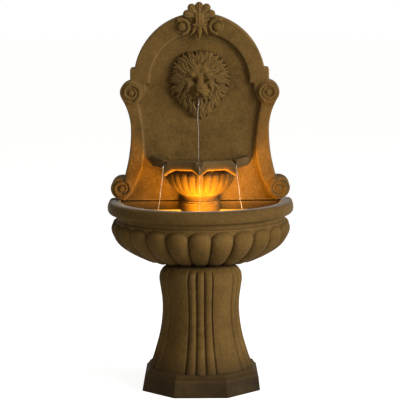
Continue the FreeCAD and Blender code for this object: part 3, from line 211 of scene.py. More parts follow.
def stone_material(name, wet=0.0, sheen=0.0):
    """Brown cast stone: cloudy pigment, sand grain, pin holes, painted shade in recesses and rubbed edges."""
    s = Shader(name)
    # Pigment in clouds
    cloud = s.noise(5.5, 5, 0.62)
    mottle = s.noise(34, 6, 0.68)
    patch = s.math("ADD", s.math("MULTIPLY", cloud, 0.6), s.math("MULTIPLY", mottle, 0.4))
    colour = s.ramp(patch, (0.34, linear(61, 44, 14)), (0.47, linear(83, 62, 26)), (0.58, linear(94, 71, 33)),
                    (0.70, linear(111, 87, 48)))
    # Dark and pale specks, then sand
    grain = s.noise(620, 3, 0.75)
    dark_specks = s.span(grain, 0.40, 0.33)
    pale_specks = s.span(s.noise(480, 2, 0.6, s.stretched((1.0, 1.1, 0.9))), 0.64, 0.72)
    colour = s.mix(s.math("MULTIPLY", dark_specks, 0.55), colour, linear(42, 30, 12))
    colour = s.mix(s.math("MULTIPLY", pale_specks, 0.4), colour, linear(140, 116, 78))
    sand = s.noise(300, 2, 0.7, s.stretched((1.05, 0.95, 1.0)))
    colour = s.mix(s.span(sand, 0.54, 0.70, 0.0, 0.36), colour, linear(134, 109, 70))
    colour = s.mix(s.span(sand, 0.46, 0.32, 0.0, 0.42), colour, linear(46, 33, 12))
    # Rubbed edges, and painted shade: darker in recesses and hollows, where ambient occlusion finds them
    # closed in
    point = s.add("ShaderNodeNewGeometry").outputs["Pointiness"]
    rubbed = s.math("MULTIPLY", s.span(point, 0.515, 0.57), s.span(mottle, 0.35, 0.6, 0.35, 0.85))
    colour = s.mix(rubbed, colour, linear(124, 99, 62))
    open_air = s.add("ShaderNodeAmbientOcclusion", {"Distance": 0.024}, samples=6).outputs["AO"]
    recess_shade = s.math("MAXIMUM", s.span(open_air, 0.68, 0.22, 0.0, 0.65), s.span(point, 0.487, 0.43, 0.0, 0.75))
    colour = s.mix(recess_shade, colour, linear(32, 22, 8))
    # Painted shade, patchy and darker towards the floor, and darker all over where the stone is wet
    height = s.add("ShaderNodeSeparateXYZ", {"Vector": s.place}).outputs["Z"]
    shade_near_floor = s.math("MULTIPLY", s.span(height, 0.16, 0.05), s.span(cloud, 0.3, 0.7, 0.7, 1.0))
    colour = s.mix(shade_near_floor, colour, linear(24, 16, 6))
    if wet:
        colour = s.mix(wet, colour, linear(30, 20, 6))
    s.set(Base_Color=colour, Roughness=s.span(mottle, 0.3, 0.7, 0.74, 0.94))
    for socket, value in (("Specular IOR Level", 0.12), ("Sheen Weight", sheen), ("Sheen Roughness", 0.25)):
        s.principled.inputs[socket].default_value = value
    # Grain and pin holes as fine relief
    holes = s.add("ShaderNodeTexVoronoi", {"Vector": s.place, "Scale": 210.0}).outputs["Distance"]
    pits = s.math("MULTIPLY", s.span(holes, 0.0, 0.22), s.span(s.noise(60), 0.38, 0.5, 1.0, 0.0))
    coarse = s.math("ADD", s.math("MULTIPLY", pits, 0.3), mottle)
    relief = s.math("ADD", s.math("MULTIPLY", grain, 0.6), coarse)
    s.set(Normal=s.bump(relief, 0.35, 0.0022))
    return s.material


def plastic_material(name, colour, roughness):
    """Moulded plastic with a fine eroded texture."""
    s = Shader(name)
    grain = s.noise(900, 3, 0.6)
    cloud = s.noise(25, 4)
    darker = tuple(channel * 0.7 for channel in colour[:3]) + (1.0,)
    s.set(Base_Color=s.mix(s.span(cloud, 0.35, 0.65), darker, colour),
          Roughness=s.span(grain, 0.35, 0.65, roughness - 0.08, roughness + 0.1),
          Normal=s.bump(grain, 0.18, 0.0004))
    return s.material


def metal_material(name, colour, tarnish, roughness, streaks):
    """Metal with drawn streaks and a blotchy tarnish."""
    s = Shader(name)
    line = s.noise(60, 4, 0.6, s.stretched(streaks))
    blotch = s.noise(70, 5, 0.65)
    s.set(Base_Color=s.mix(s.span(blotch, 0.45, 0.68, 0.0, 0.8), colour, tarnish),
          Roughness=s.span(blotch, 0.35, 0.65, roughness, roughness + 0.25),
          Normal=s.bump(line, 0.12, 0.0003))
    s.principled.inputs["Metallic"].default_value = 1.0
    return s.material


def rubber_material(name):
    """Black rubber with a pale bloom."""
    s = Shader(name)
    grain = s.noise(1300, 2)
    bloom = s.noise(45, 5, 0.7)
    s.set(Base_Color=s.ramp(bloom, (0.35, linear(24, 24, 24)), (0.7, linear(52, 51, 49))),
          Roughness=s.span(bloom, 0.3, 0.7, 0.7, 0.92), Normal=s.bump(grain, 0.2, 0.0003))
    return s.material


def clear_material(name, tint, roughness, ior, wobble, wobble_scale, clear=1.0, painted_glow=None):
    """Glass, vinyl or water: clear, with a slight unevenness; the last argument paints the lamp's light into
    it as a glow that fades to the sides.
    """
    s = Shader(name)
    wave = s.noise(wobble_scale, 3)
    s.set(Normal=s.bump(wave, wobble, 0.002),
          Base_Color=s.mix(s.span(wave, 0.3, 0.7), tint, tuple(c * 0.93 for c in tint[:3]) + (1.0,)))
    for socket, value in (("Transmission Weight", clear), ("Roughness", roughness), ("IOR", ior)):
        s.principled.inputs[socket].default_value = value
    # Painted light: an emitted amber glow for the lamp's light in the water, fading away from its middle
    if painted_glow:
        around = {"Vector": s.place, "Location": (0, -0.15, 0), "Scale": (1, 2, 0)}
        near = s.add("ShaderNodeMapping", around).outputs["Vector"]
        off = s.add("ShaderNodeVectorMath", {0: near}, operation="LENGTH").outputs["Value"]
        stops = [(at, (level,) * 3) for at, level in ((0.0, 0.9), (0.12, 0.7), (0.20, 0.3), (0.30, 0.0))]
        glow = s.math("MULTIPLY", s.ramp(off, *stops), s.span(wave, 0.3, 0.7, 0.6, 1.0))
        s.set(Emission_Color=painted_glow, Emission_Strength=glow)
    return s.material


STONE = stone_material("cast_stone")
WET_STONE = stone_material("wet_stone", 0.40)
RIM_STONE = stone_material("rim_stone", 0.12, sheen=0.33)
PARTS = {
    "black_plastic": plastic_material("black_plastic", linear(38, 38, 40), 0.5),
    "dial_plastic": plastic_material("dial_plastic", linear(92, 95, 98), 0.35),
    "wheel_plastic": plastic_material("wheel_plastic", linear(218, 214, 200), 0.42),
    "ferrite": plastic_material("ferrite", linear(66, 65, 66), 0.6),
    "shaft_ceramic": plastic_material("shaft_ceramic", linear(232, 230, 222), 0.22),
    "rubber": rubber_material("rubber"),
    "hose_vinyl": clear_material("hose_vinyl", linear(214, 222, 214), 0.28, 1.46, 0.1, 60),
    "steel": metal_material("steel", linear(196, 196, 192), linear(128, 122, 112), 0.28, (1.0, 1.0, 18.0)),
    "brass": metal_material("brass", linear(78, 59, 32), linear(38, 30, 18), 0.5, (18.0, 1.0, 1.0)),
    "lens_glass": clear_material("lens_glass", linear(255, 244, 214), 0.08, 1.5, 0.06, 90),
    "board": plastic_material("board", linear(238, 236, 226), 0.4),
}
for name, strength in (("board", 3.0), ("lens_glass", 0.6)):
    shine = PARTS[name].node_tree.nodes["Principled BSDF"].inputs
    shine["Emission Color"].default_value = (1.0, 0.62, 0.16, 1.0)
    shine["Emission Strength"].default_value = strength
for row in frame["record"]["subparts"]:
    obj = NODES[row["node"]]
    obj.data.materials.clear()
    if row["material_slot"] == "cast_stone":
        obj.data.materials.append(WET_STONE if row["node"] in ("riser", "pump_cover") else STONE)
    else:
        obj.data.materials.append(PARTS[row["material_slot"]])


def worn(obj, voxel, passes):
    """Rounds the edges of a casting as wear and the mould do."""
    cast = obj.modifiers.new("cast", "REMESH")
    cast.mode = "VOXEL"
    cast.voxel_size = voxel
    cast.use_smooth_shade = True
    ease = obj.modifiers.new("ease", "SMOOTH")
    ease.factor = 0.5
    ease.iterations = passes


for name, voxel, passes in (("back_panel", 0.0037, 4), ("pump_cover", 0.0025, 3)):
    worn(NODES[name], voxel, passes)


def add_piece(name, vertices, faces, replaced=(), material=STONE):
    """A mesh that rides on the fountain and may stand for some CAD nodes."""
    mesh = bpy.data.meshes.new(name)
    mesh.from_pydata([tuple(map(float, v)) for v in vertices], [], [tuple(map(int, f)) for f in faces])
    welded = bmesh.new()
    welded.from_mesh(mesh)
    bmesh.ops.remove_doubles(welded, verts=welded.verts, dist=1e-6)
    bmesh.ops.recalc_face_normals(welded, faces=welded.faces)
    for face in welded.faces:
        face.smooth = len(face.verts) <= 4
    welded.to_mesh(mesh)
    welded.free()
    piece = bpy.data.objects.new(name, mesh)
    scene.collection.objects.link(piece)
    piece.data.materials.append(material)
    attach(piece, "fountain")
    for node in replaced:
        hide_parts(node)
    return piece


def quads(rows, columns, closed=False):
    """Faces between neighbouring rows of a grid of vertices."""
    faces = []
    for row in range(rows - 1):
        start = row * columns
        for column in range(columns if closed else columns - 1):
            after = (column + 1) % columns
            faces.append((start + column, start + after, start + columns + after, start + columns + column))
    return faces


def end_face(rows, columns):
    """The flat back of a half-round grid, up its first column and down its last."""
    first = [row * columns for row in range(rows)]
    return first + [at + columns - 1 for at in reversed(first)]


def half_round(rows, angles, runs, axis_y):
    """Vertices of profiles carried round a half circle, with straight runs back at both ends.
    rows[i] is (radii, heights), each one number per station."""
    turn = np.concatenate([np.full(len(runs), -QUARTER_TURN), angles, np.full(len(runs), QUARTER_TURN)])
    back = np.concatenate([runs, np.zeros(len(angles)), runs[::-1]])
    grid = []
    for r, z in rows:
        grid.append(np.stack([r * np.sin(turn), axis_y - r * np.cos(turn) + back, z + 0 * turn], axis=1))
    return grid


def smooth_step(value):
    """Eases from 0 to 1 as the value does."""
    value = np.clip(value, 0, 1)
    return value * value * (3 - 2 * value)


def catmull(at, xs, ys):
    """A smooth curve through points at rising xs."""
    xs, ys = np.asarray(xs), np.asarray(ys)
    slopes = np.gradient(ys, xs)
    i = int(np.clip(np.searchsorted(xs, at) - 1, 0, len(xs) - 2))
    span = xs[i + 1] - xs[i]
    t = np.clip((at - xs[i]) / span, 0, 1)
    return ((1 + 2 * t) * (1 - t) ** 2 * ys[i] + t * (1 - t) ** 2 * span * slopes[i]
            + t * t * (3 - 2 * t) * ys[i + 1] + t * t * (t - 1) * span * slopes[i + 1])


def lobe_across(position):
    """Where each station lies across its lobe, from -1 to 1; the half circle ends in a lobe's middle."""
    return 2 * (((position + QUARTER_TURN) / (math.pi / LOBE_SPACES) + 0.5) % 1.0) - 1


def lobe_height(across, *ends):
    """Cross-section of a tongue-shaped lobe, 1 at its middle; each end fades it out, going from 0 to 1."""
    left = 1 - np.abs(across) ** 2.2
    for end in ends:
        left = left - np.clip(end, 0, 1) ** 2.4
    return np.sqrt(np.clip(left, 0, None))


def bore(piece, x, y, radius, low, high):
    """Cuts an upright round hole into a piece."""
    count = 48
    turns = np.linspace(0, 2 * math.pi, count, endpoint=False)
    ends = [(x + radius * math.cos(a), y + radius * math.sin(a), z) for z in (low, high) for a in turns]
    sides = [(i, (i + 1) % count, count + (i + 1) % count, count + i) for i in range(count)]
    caps = [list(range(count - 1, -1, -1)), list(range(count, 2 * count))]
    mesh = bpy.data.meshes.new("cutter")
    mesh.from_pydata(ends, [], sides + caps)
    cutter = bpy.data.objects.new("cutter", mesh)
    scene.collection.objects.link(cutter)
    cut = piece.modifiers.new("cut", "BOOLEAN")
    cut.operation = "DIFFERENCE"
    cut.object = cutter
    bpy.context.view_layer.update()
    made = bpy.data.meshes.new_from_object(piece.evaluated_get(bpy.context.evaluated_depsgraph_get()))
    piece.modifiers.remove(cut)
    piece.data = made
    bpy.data.objects.remove(cutter)


def basin_outside(across):
    """Radii and levels of the lower basin from the middle of its bottom, over lobes and rim, to its mouth."""
    flat = 0 * across
    levels, crests = zip(*UNDERSIDE)
    bottom = levels[0]
    step = 0.002
    rows = [(SEAT_RADIUS + flat, bottom + flat)]
    for z in np.concatenate([np.linspace(bottom, 0.560, 30), np.linspace(0.564, 0.6265, 26)]):
        r = catmull(z, levels, crests)
        steep = (catmull(z + step, levels, crests) - catmull(z - step, levels, crests)) / (2 * step)
        out = Vector((1, -steep)).normalized()
        depth = LOBE_DEPTH * (0.48 + 0.52 * smooth_step((z - bottom) / 0.07))
        shoulder = (z - LOBE_SHOULDER) / (LOBE_TOP - LOBE_SHOULDER)
        tail = (LOBE_TAIL - z) / LOBE_TAIL_LENGTH
        sunk = depth * (1 - lobe_height(across, shoulder, tail))
        rows.append((r - out.x * sunk, np.maximum(z - out.y * sunk, bottom)))
    for r, z in NECK:
        rows.append((r + flat, z))
    for degrees in np.arange(-80, 81, 10.0):
        angle = math.radians(degrees)
        bulge = math.copysign(abs(math.sin(angle)) ** 0.85, angle)
        r = BEAD_RADIUS + BEAD_REACH * math.cos(angle) ** 0.7
        rows.append((r + flat, BEAD_LEVEL + BEAD_HALF_HEIGHT * bulge))
    for r, drop in ((0.331, 0.0), (0.317, 0.0), (0.312, 0.001), (MOUTH_RADIUS, 0.004)):
        rows.append((r + flat, RIM_LEVEL - drop))
    return rows


def paint_rim(basin):
    """Gives the rounded rim a stone with a sheen; its underside and the ledge behind keep the plain one."""
    basin.data.materials.append(RIM_STONE)
    for face in basin.data.polygons:
        x, y, z = face.center
        on_bead = z > RIM_FOOT and face.normal.z > -0.4
        past_mouth = math.hypot(x, y - FIELD_Y) > MOUTH_RADIUS
        off_ledge = y < FIELD_Y or abs(x) > MOUTH_RADIUS
        if on_bead and past_mouth and off_ledge:
            face.material_index = 1


def gadrooned_basin():
    """The lower basin: tongue-shaped lobes under a rounded rim, hollow in front, a solid ledge behind."""
    back_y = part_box("lower_basin")[1].y
    angles = np.linspace(-QUARTER_TURN, QUARTER_TURN, LOBE_SPACES * 26 + 1)
    runs = np.linspace(back_y - FIELD_Y, 0, 25)[:-1]
    straight = runs / BELLY_RADIUS
    position = np.concatenate([-QUARTER_TURN - straight, angles, QUARTER_TURN + straight[::-1]])
    across = lobe_across(position)
    rows = basin_outside(across)
    width, count = len(across), len(rows)
    vertices = list(np.concatenate(half_round(rows, angles, runs, FIELD_Y)))
    faces = quads(count, width)
    # The hollow, ring by ring from the mouth down to the middle of the floor
    first, last = len(runs), len(runs) + len(angles)
    lip = (count - 1) * width
    above = [lip + column for column in range(first, last)]
    left_wall, right_wall = [above[0]], [above[-1]]
    for r, z in HOLLOW + tuple((ring, FLOOR_LEVEL) for ring in FLOOR_RINGS):
        below = range(len(vertices), len(vertices) + len(angles))
        vertices += [(r * math.sin(a), FIELD_Y - r * math.cos(a), z) for a in angles]
        faces += [(above[i], above[i + 1], below[i + 1], below[i]) for i in range(len(angles) - 1)]
        above = list(below)
        left_wall.append(above[0])
        right_wall.append(above[-1])
    vertices.append((0, FIELD_Y, FLOOR_LEVEL))
    centre = len(vertices) - 1
    faces += [(above[i], above[i + 1], centre) for i in range(len(angles) - 1)]
    # The hollow's flat back wall, the ledge's top, the basin's back and its bottom
    faces.append(left_wall + [centre] + right_wall[::-1])
    faces.append([lip + i for i in range(first + 1)] + [lip + i for i in range(last - 1, width)])
    faces.append(end_face(count, width))
    faces.append(list(range(width)))
    basin = add_piece("gadrooned_basin", vertices, faces, ("lower_basin",))
    low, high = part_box("drain_stopper")
    middle_x, middle_y = (low.x + high.x) / 2, (low.y + high.y) / 2
    bore(basin, middle_x, middle_y, DRAIN_RADIUS, FLOOR_LEVEL - 0.05, FLOOR_LEVEL + 0.02)
    paint_rim(basin)


def bowl_axis():
    """The plane of the upper basin's middle, a little behind the panel's front."""
    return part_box("back_panel")[0].y + 0.006


def octagon_radius(turn, radius):
    """Distance to the side of an octagon with a vertex in front."""
    eighth = math.pi / 4
    return radius * math.cos(eighth / 2) / np.cos(np.abs(turn) % eighth - eighth / 2)


def fluted_bowl():
    """The upper basin: an octagonal rim with a V spout at each vertex on a fluted half-bowl."""
    axis_y = bowl_axis()
    angles = np.radians(np.arange(-90, 90.01, 0.5))
    runs = np.array([FIELD_Y - axis_y, (FIELD_Y - axis_y) / 2])
    turn = np.concatenate([np.full(2, -QUARTER_TURN), angles, np.full(2, QUARTER_TURN)])
    flat = 0 * turn
    across = lobe_across(turn)
    rim = octagon_radius(turn, BOWL_RADIUS)
    off_vertex = np.min([np.abs(turn - v) for v in (-math.pi / 4, 0, math.pi / 4)], axis=0) * BOWL_RADIUS
    notch = NOTCH_DEPTH * np.clip(1 - off_vertex / NOTCH_HALF_WIDTH, 0, 1)
    beak = np.clip(1 - off_vertex / BEAK_HALF_WIDTH, 0, 1) ** 1.25
    drop, jut = BEAK_DROP * beak, BEAK_JUT * beak
    rows = [(0.060 + flat, BOWL_FOOT + flat), (0.0805 + flat, BOWL_FOOT + flat)]
    # The fluted belly
    for degrees in np.concatenate([np.arange(0, 60, 5.0), np.arange(60, 91, 2.0)]):
        beta = math.radians(degrees)
        r, z = 0.0765 + 0.047 * math.sin(beta) ** 1.2, 0.832 - 0.096 * math.cos(beta)
        shoulder = (z - FLUTE_SHOULDER) / (FLUTE_TOP - FLUTE_SHOULDER)
        rise = (0.005 + 0.007 * math.sin(beta)) * lobe_height(across, shoulder)
        rows.append((r + rise * math.sin(beta), z - rise * math.cos(beta) * 0.4 + flat))
    # The rim's underside with its beaks: offset from the octagon, level, and the beak's share
    for offset, z, share in ((-0.045, 0.8355, 0.0), (-0.030, 0.8362, 0.2), (-0.016, 0.8366, 0.8),
                             (-0.0085, 0.8372, 1.0), (-0.0035, 0.8400, 1.0), (-0.0010, 0.8420, 0.9),
                             (0.0, 0.8450, 0.75)):
        rows.append((rim + offset + jut * share, z - drop * share))
    # The rim's top with its notches, then the tray and the well
    top = BOWL_LEVEL
    for offset, z in ((0.002, top - 0.003), (0.0005, top - 0.0005), (-0.002, top), (-0.017, top),
                      (-0.020, top - 0.002)):
        rows.append((rim + offset + jut * 0.6, np.minimum(z, z - notch)))
    rows.append((rim - 0.0215, top - 0.0165 - 0.006 * (notch > 0.008)))
    for r, z in ((0.128, top - 0.018), (0.104, top - 0.019), (0.100, 0.845), (0.086, 0.812), (0.062, 0.791),
                 (0.030, 0.790), (0.001, 0.790)):
        rows.append((r + flat, z + flat))
    grid = half_round(rows, angles, runs, axis_y)
    width, count = len(turn), len(rows)
    faces = quads(count, width)
    faces.append(end_face(count, width))
    faces.append(list(range(width)))
    add_piece("fluted_bowl", np.concatenate(grid), faces, ("upper_basin",), material=WET_STONE)


def turned_riser():
    """The ring under the upper basin: a hollow between two fillets."""
    low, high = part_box("riser")
    outer = high.x
    angles = np.linspace(-QUARTER_TURN, QUARTER_TURN, 91)
    axis_y = low.y + outer
    runs = np.array([FIELD_Y - axis_y, (FIELD_Y - axis_y) / 2])
    flat = np.zeros(len(angles) + 2 * len(runs))
    tall = high.z - low.z
    rows = [(RISER_INSIDE + flat, low.z + flat)]
    for share, inset in RISER_PROFILE:
        rows.append((outer - inset + flat, low.z + tall * share + flat))
    rows.append((RISER_INSIDE + flat, high.z + flat))
    grid = half_round(rows, angles, runs, axis_y)
    width, count = len(flat), len(rows)
    top = width * (count - 1)
    faces = quads(count, width) + [(i, top + i, top + i + 1, i + 1) for i in range(width - 1)]
    for column in (0, width - 1):
        faces.append([i * width + column for i in range(count)])
    add_piece("turned_riser", np.concatenate(grid), faces, ("riser",), material=WET_STONE)


def reeded_pedestal():
    """A plinth of two octagonal tiers and a waisted column: groups of three reeds between plain panels."""
    half_facet = math.atan2(FACET_HALF, FACET_AT)
    corners = [quarter * math.pi / 2 + side * half_facet for quarter in (-1, 0, 1, 2) for side in (-1, 1)]
    corners = [(a + math.pi) % (2 * math.pi) - math.pi for a in corners]
    angles = np.linspace(-math.pi, math.pi, 440, endpoint=False)
    angles = np.unique(np.round(np.append(angles, corners), 6))
    off = np.abs((angles + math.pi / 4) % (math.pi / 2) - math.pi / 4)
    octagon = np.where(off <= half_facet, 1 / np.cos(off),
                       (1 + math.tan(half_facet)) / math.sqrt(2) / np.cos(off - math.pi / 4))
    # Even sectors hold reeds and odd ones a panel; across runs from -1 to 1 in each
    sector = angles / (math.pi / REED_GROUPS)
    across = 2 * (sector - np.round(sector))
    reeds = np.sqrt(np.clip(1 - ((((across + 1) * 1.5) % 1 - 0.5) / 0.48) ** 2, 0, None))
    near_edge = 1 - np.minimum(1, (1 - np.abs(across)) / 0.10)
    panel = PANEL_SWELL * (1 - across ** 2) - REED_RECESS * near_edge ** 2
    carved = np.where(np.round(sector) % 2 == 0, (REED_RECESS + REED_CROWN) * reeds - REED_RECESS, panel)

    def ring(radius, z):
        return [(r * math.sin(a), -r * math.cos(a), z) for a, r in zip(angles, radius)]

    tiers = ((0.0, PLINTH_HALF - 0.002), (0.003, PLINTH_HALF), (0.063, PLINTH_HALF - 0.0115),
             (0.066, PLINTH_HALF - 0.0145), (0.067, TIER_HALF), (0.0785, TIER_HALF - 0.0065),
             (0.081, TIER_HALF - 0.0095))
    loops = [ring(octagon * half, z) for z, half in tiers]
    levels, halves = zip(*COLUMN)
    for z in np.concatenate([np.linspace(levels[0], 0.43, 44), np.linspace(0.4325, levels[-1], 26)]):
        fade = math.sqrt(max(0.0, 1 - (max(0.0, z - REEDS_END) / REEDS_END_LENGTH) ** 2))
        loops.append(ring(catmull(z, levels, halves) * COLUMN_GROW + carved * fade, z))
    width = len(angles)
    faces = quads(len(loops), width, closed=True)
    faces.append(list(range(width)))
    faces.append([(len(loops) - 1) * width + i for i in range(width)])
    add_piece("reeded_pedestal", [v for loop in loops for v in loop], faces, ("pedestal",))


class Relief:
    """Carving in millimetres: a grid of heights over a flat back, seen from the front."""

    def __init__(self, half_width, low, high, step):
        over = np.arange(-half_width, half_width + step, step)
        up = np.arange(low, high + step, step)
        self.x, self.z = np.meshgrid(over, up)
        self.height = np.full(self.x.shape, -1.0)

    def ridge(self, xs, zs, widths, bases, rises, strands=0.0, groove=0.12):
        """A rounded ridge along a path; strands draw finer grooves along it."""
        along_x, along_z = np.gradient(xs), np.gradient(zs)
        length = np.hypot(along_x, along_z) + 1e-9
        along_x, along_z = along_x / length, along_z / length
        pad = widths.max() + 2
        near = ((self.x > xs.min() - pad) & (self.x < xs.max() + pad)
                & (self.z > zs.min() - pad) & (self.z < zs.max() + pad))
        px, pz = self.x[near], self.z[near]
        best = ((px[:, None] - xs) ** 2 + (pz[:, None] - zs) ** 2).argmin(axis=1)
        off_x, off_z = px - xs[best], pz - zs[best]
        wide = np.maximum(widths[best], 0.01)
        side = (off_z * along_x[best] - off_x * along_z[best]) / wide
        ahead = (off_x * along_x[best] + off_z * along_z[best]) / wide
        past_end = np.where(best == len(xs) - 1, np.maximum(ahead, 0), 0)
        ahead = np.where(best == 0, np.minimum(ahead, 0), past_end)
        left = 1 - side ** 2 - ahead ** 2
        round_off = np.sqrt(np.clip(left, 0, None))
        lines = groove * np.cos(math.pi * strands * side) * round_off if strands else 0.0
        made = bases[best] + rises[best] * (round_off + lines)
        old = self.height[near]
        self.height[near] = np.where(left > 0, np.maximum(old, made), old)

    def dome(self, x, z, half_x, half_z, base, rise):
        """A rounded boss on an elliptical foot."""
        left = 1 - ((self.x - x) / half_x) ** 2 - ((self.z - z) / half_z) ** 2
        made = base + rise * np.clip(left, 0, None) ** 0.5
        self.height = np.where(left > 0, np.maximum(self.height, made), self.height)

    def soften(self):
        """Blurs heights without moving the outline."""
        inside = self.height > 0
        padded = np.pad(self.height, 1, mode="edge")
        weight = np.pad(inside.astype(float), 1)
        total, share = np.zeros_like(self.height), np.zeros_like(self.height)
        rows, columns = self.height.shape
        for down in (0, 1, 2):
            for over in (0, 1, 2):
                part = (slice(down, down + rows), slice(over, over + columns))
                factor = (2 - abs(down - 1)) * (2 - abs(over - 1)) * weight[part]
                total += factor * padded[part]
                share += factor
        self.height = np.where(inside, total / np.maximum(share, 1e-9), self.height)

    def piece(self, name, middle, back, replaced=()):
        """The carving as a closed mesh, its flat back a little inside what carries it."""
        shape = self.height.shape
        solid = self.height > 0
        cell = solid[:-1, :-1] & solid[1:, :-1] & solid[1:, 1:] & solid[:-1, 1:]
        corner = np.arange(shape[0] * shape[1]).reshape(shape)
        around = (corner[:-1, :-1], corner[:-1, 1:], corner[1:, 1:], corner[1:, :-1])
        quad_corners = [part[cell] for part in around]
        used = np.unique(np.concatenate(quad_corners))
        index = np.full(shape[0] * shape[1], -1)
        index[used] = np.arange(len(used))
        x, z, h = (grid.ravel()[used] / 1000 for grid in (self.x, self.z, self.height))
        front = np.stack([middle[0] + x, back - h, middle[1] + z], axis=1)
        rear = np.stack([middle[0] + x, np.full_like(x, back + 0.002), middle[1] + z], axis=1)
        faces = np.stack([index[part] for part in quad_corners], axis=1)
        count = len(used)
        edges = {}
        for quad in faces:
            for i in range(4):
                p, q = int(quad[i]), int(quad[(i + 1) % 4])
                if (q, p) in edges:
                    del edges[(q, p)]
                else:
                    edges[(p, q)] = True
        all_faces = [tuple(f) for f in faces] + [tuple(f[::-1] + count) for f in faces]
        all_faces += [(p, p + count, q + count, q) for p, q in edges]
        made = add_piece(name, np.concatenate([front, rear]), all_faces, replaced)
        ease = made.modifiers.new("ease", "SMOOTH")
        ease.factor = 0.5
        ease.iterations = 2


# Lion mask, in millimetres round its middle: half sizes of the mane and the face, and the face's middle.
MANE_HALF_WIDE = 117
MANE_HALF_TALL = 131
FACE_HALF_WIDE = 55
FACE_HALF_TALL = 73
FACE_MIDDLE = 10
# The lie of the hair: angles round the face from its top, and the heading of the hair there, in degrees.
HAIR_TURNS = np.radians((0, 25, 60, 95, 125, 150, 180))
HAIR_HEADINGS = np.radians((0, 30, 72, 112, 152, 178, 180))
# Rows of locks from the outside in: share of the way out, number of locks, and lift.
LOCK_ROWS = ((0.60, 40, -1), (0.38, 33, 1), (0.16, 28, 3.5), (-0.06, 23, 6))
# Swellings and hollows of the face: height, place across and up, half sizes, and slope in degrees.
FACE_FORMS = (
    (6, 22, 58, 16, 15),          # forehead
    (-1.2, 0, 54, 4, 14),         # furrow
    (15, 32, 42, 16, 7.5, 10),    # brows
    (-17, 24, 21, 10, 6.0, 10),   # eye sockets
    (-8, 17, 17, 4.5, 6),         # inner corners of the eyes
    (8, 27, 20, 5.5, 3.6, 10),    # eyes
    (4, 28, 26, 9, 1.8, 14),      # upper lids
    (4, 28, 13, 8.5, 1.8, 10),    # lower lids
    (9, 42, 0, 11, 15),           # cheeks
    (-8, 36, -8, 5, 12, 30),      # creases beside the muzzle
    (6, 16, -32, 11, 8),          # muzzle
    (-9, 11, -20.5, 5, 2.8, 24),  # nostrils
    (-8, 0, -33, 2.0, 8),         # cleft under the nose
)


def mane_reach(x, z):
    """0 in the middle of the mask, 1 on its outline, broad above and drawn in below."""
    power = 1.40 + 1.4 * smooth_step((z + 60) / 110)
    return (np.abs(x / MANE_HALF_WIDE) ** power + np.abs(z / MANE_HALF_TALL) ** power) ** (1 / power)


def mane_mass(x, z):
    """Height of the mane's mass under its locks."""
    return 4 + 27 * np.sqrt(np.clip(1 - mane_reach(x, z) ** 2, 0, 1))


def add_lock(mask, draw, start, length, width, lift, phase, curl, stray):
    """A lock of three strands that follows the lie of the hair, waves, and curls at its tip."""
    path = [np.array(start, dtype=float)]
    ends_at = draw.uniform(0.95, 1.04)
    for step in range(int(length)):
        at = path[-1]
        turn = math.atan2(abs(at[0]), at[1] - FACE_MIDDLE)
        lie = math.copysign(np.interp(turn, HAIR_TURNS, HAIR_HEADINGS), start[0])
        wave = 0.45 * math.sin(2 * math.pi * step / 54 + phase)
        heading = lie + stray + wave + curl * smooth_step((step / length - 0.7) / 0.3)
        after = at + (math.sin(heading), math.cos(heading))
        if mane_reach(*after) > ends_at:
            break
        path.append(after)
    if len(path) < 12:
        return
    xs, zs = np.array(path).T
    t = np.linspace(0, 1, len(path))
    widths = width * np.minimum(1, 0.6 + 1.4 * t) * (1 - t ** 2.2) ** 0.8 + 0.3
    bases = mane_mass(xs, zs) + lift * (1 - 0.5 * t) - 4
    mask.ridge(xs, zs, widths, bases, 12 - 3 * t, strands=3, groove=0.24)


def add_mane(mask):
    """Rows of locks round the face, the inner ones over the outer."""
    draw = np.random.default_rng(23)
    mask.height = np.where(mane_reach(mask.x, mask.z) < 0.84, mane_mass(mask.x, mask.z) + 1, -1.0)
    mask.dome(0, 92, 42, 28, 22, 9)
    for share, count, lift in LOCK_ROWS:
        for number in range(count):
            turn = 2 * math.pi * (number + 0.5 + draw.uniform(-0.38, 0.38)) / count - math.pi
            side = math.copysign(1, turn)
            root_x = math.sin(turn) * (FACE_HALF_WIDE + (MANE_HALF_WIDE - FACE_HALF_WIDE) * share)
            face_z = FACE_MIDDLE + math.cos(turn) * FACE_HALF_TALL
            root_z = face_z * (1 - share) + MANE_HALF_TALL * math.cos(turn) * share
            wave = share * 9 + 1.6 * math.sin(2 * abs(turn))
            phase = wave + draw.uniform(-0.6, 0.6) + (0 if side > 0 else math.pi)
            length = draw.uniform(52, 80) if share > 0 else draw.uniform(40, 60)
            width = draw.uniform(8.4, 11.0)
            raised = lift + draw.uniform(-2, 2.5)
            curl = side * draw.choice((-1.3, -0.8, 0.6, 1.1))
            stray = draw.uniform(-0.25, 0.25)
            add_lock(mask, draw, (root_x, root_z), length, width, raised, phase, curl, stray)


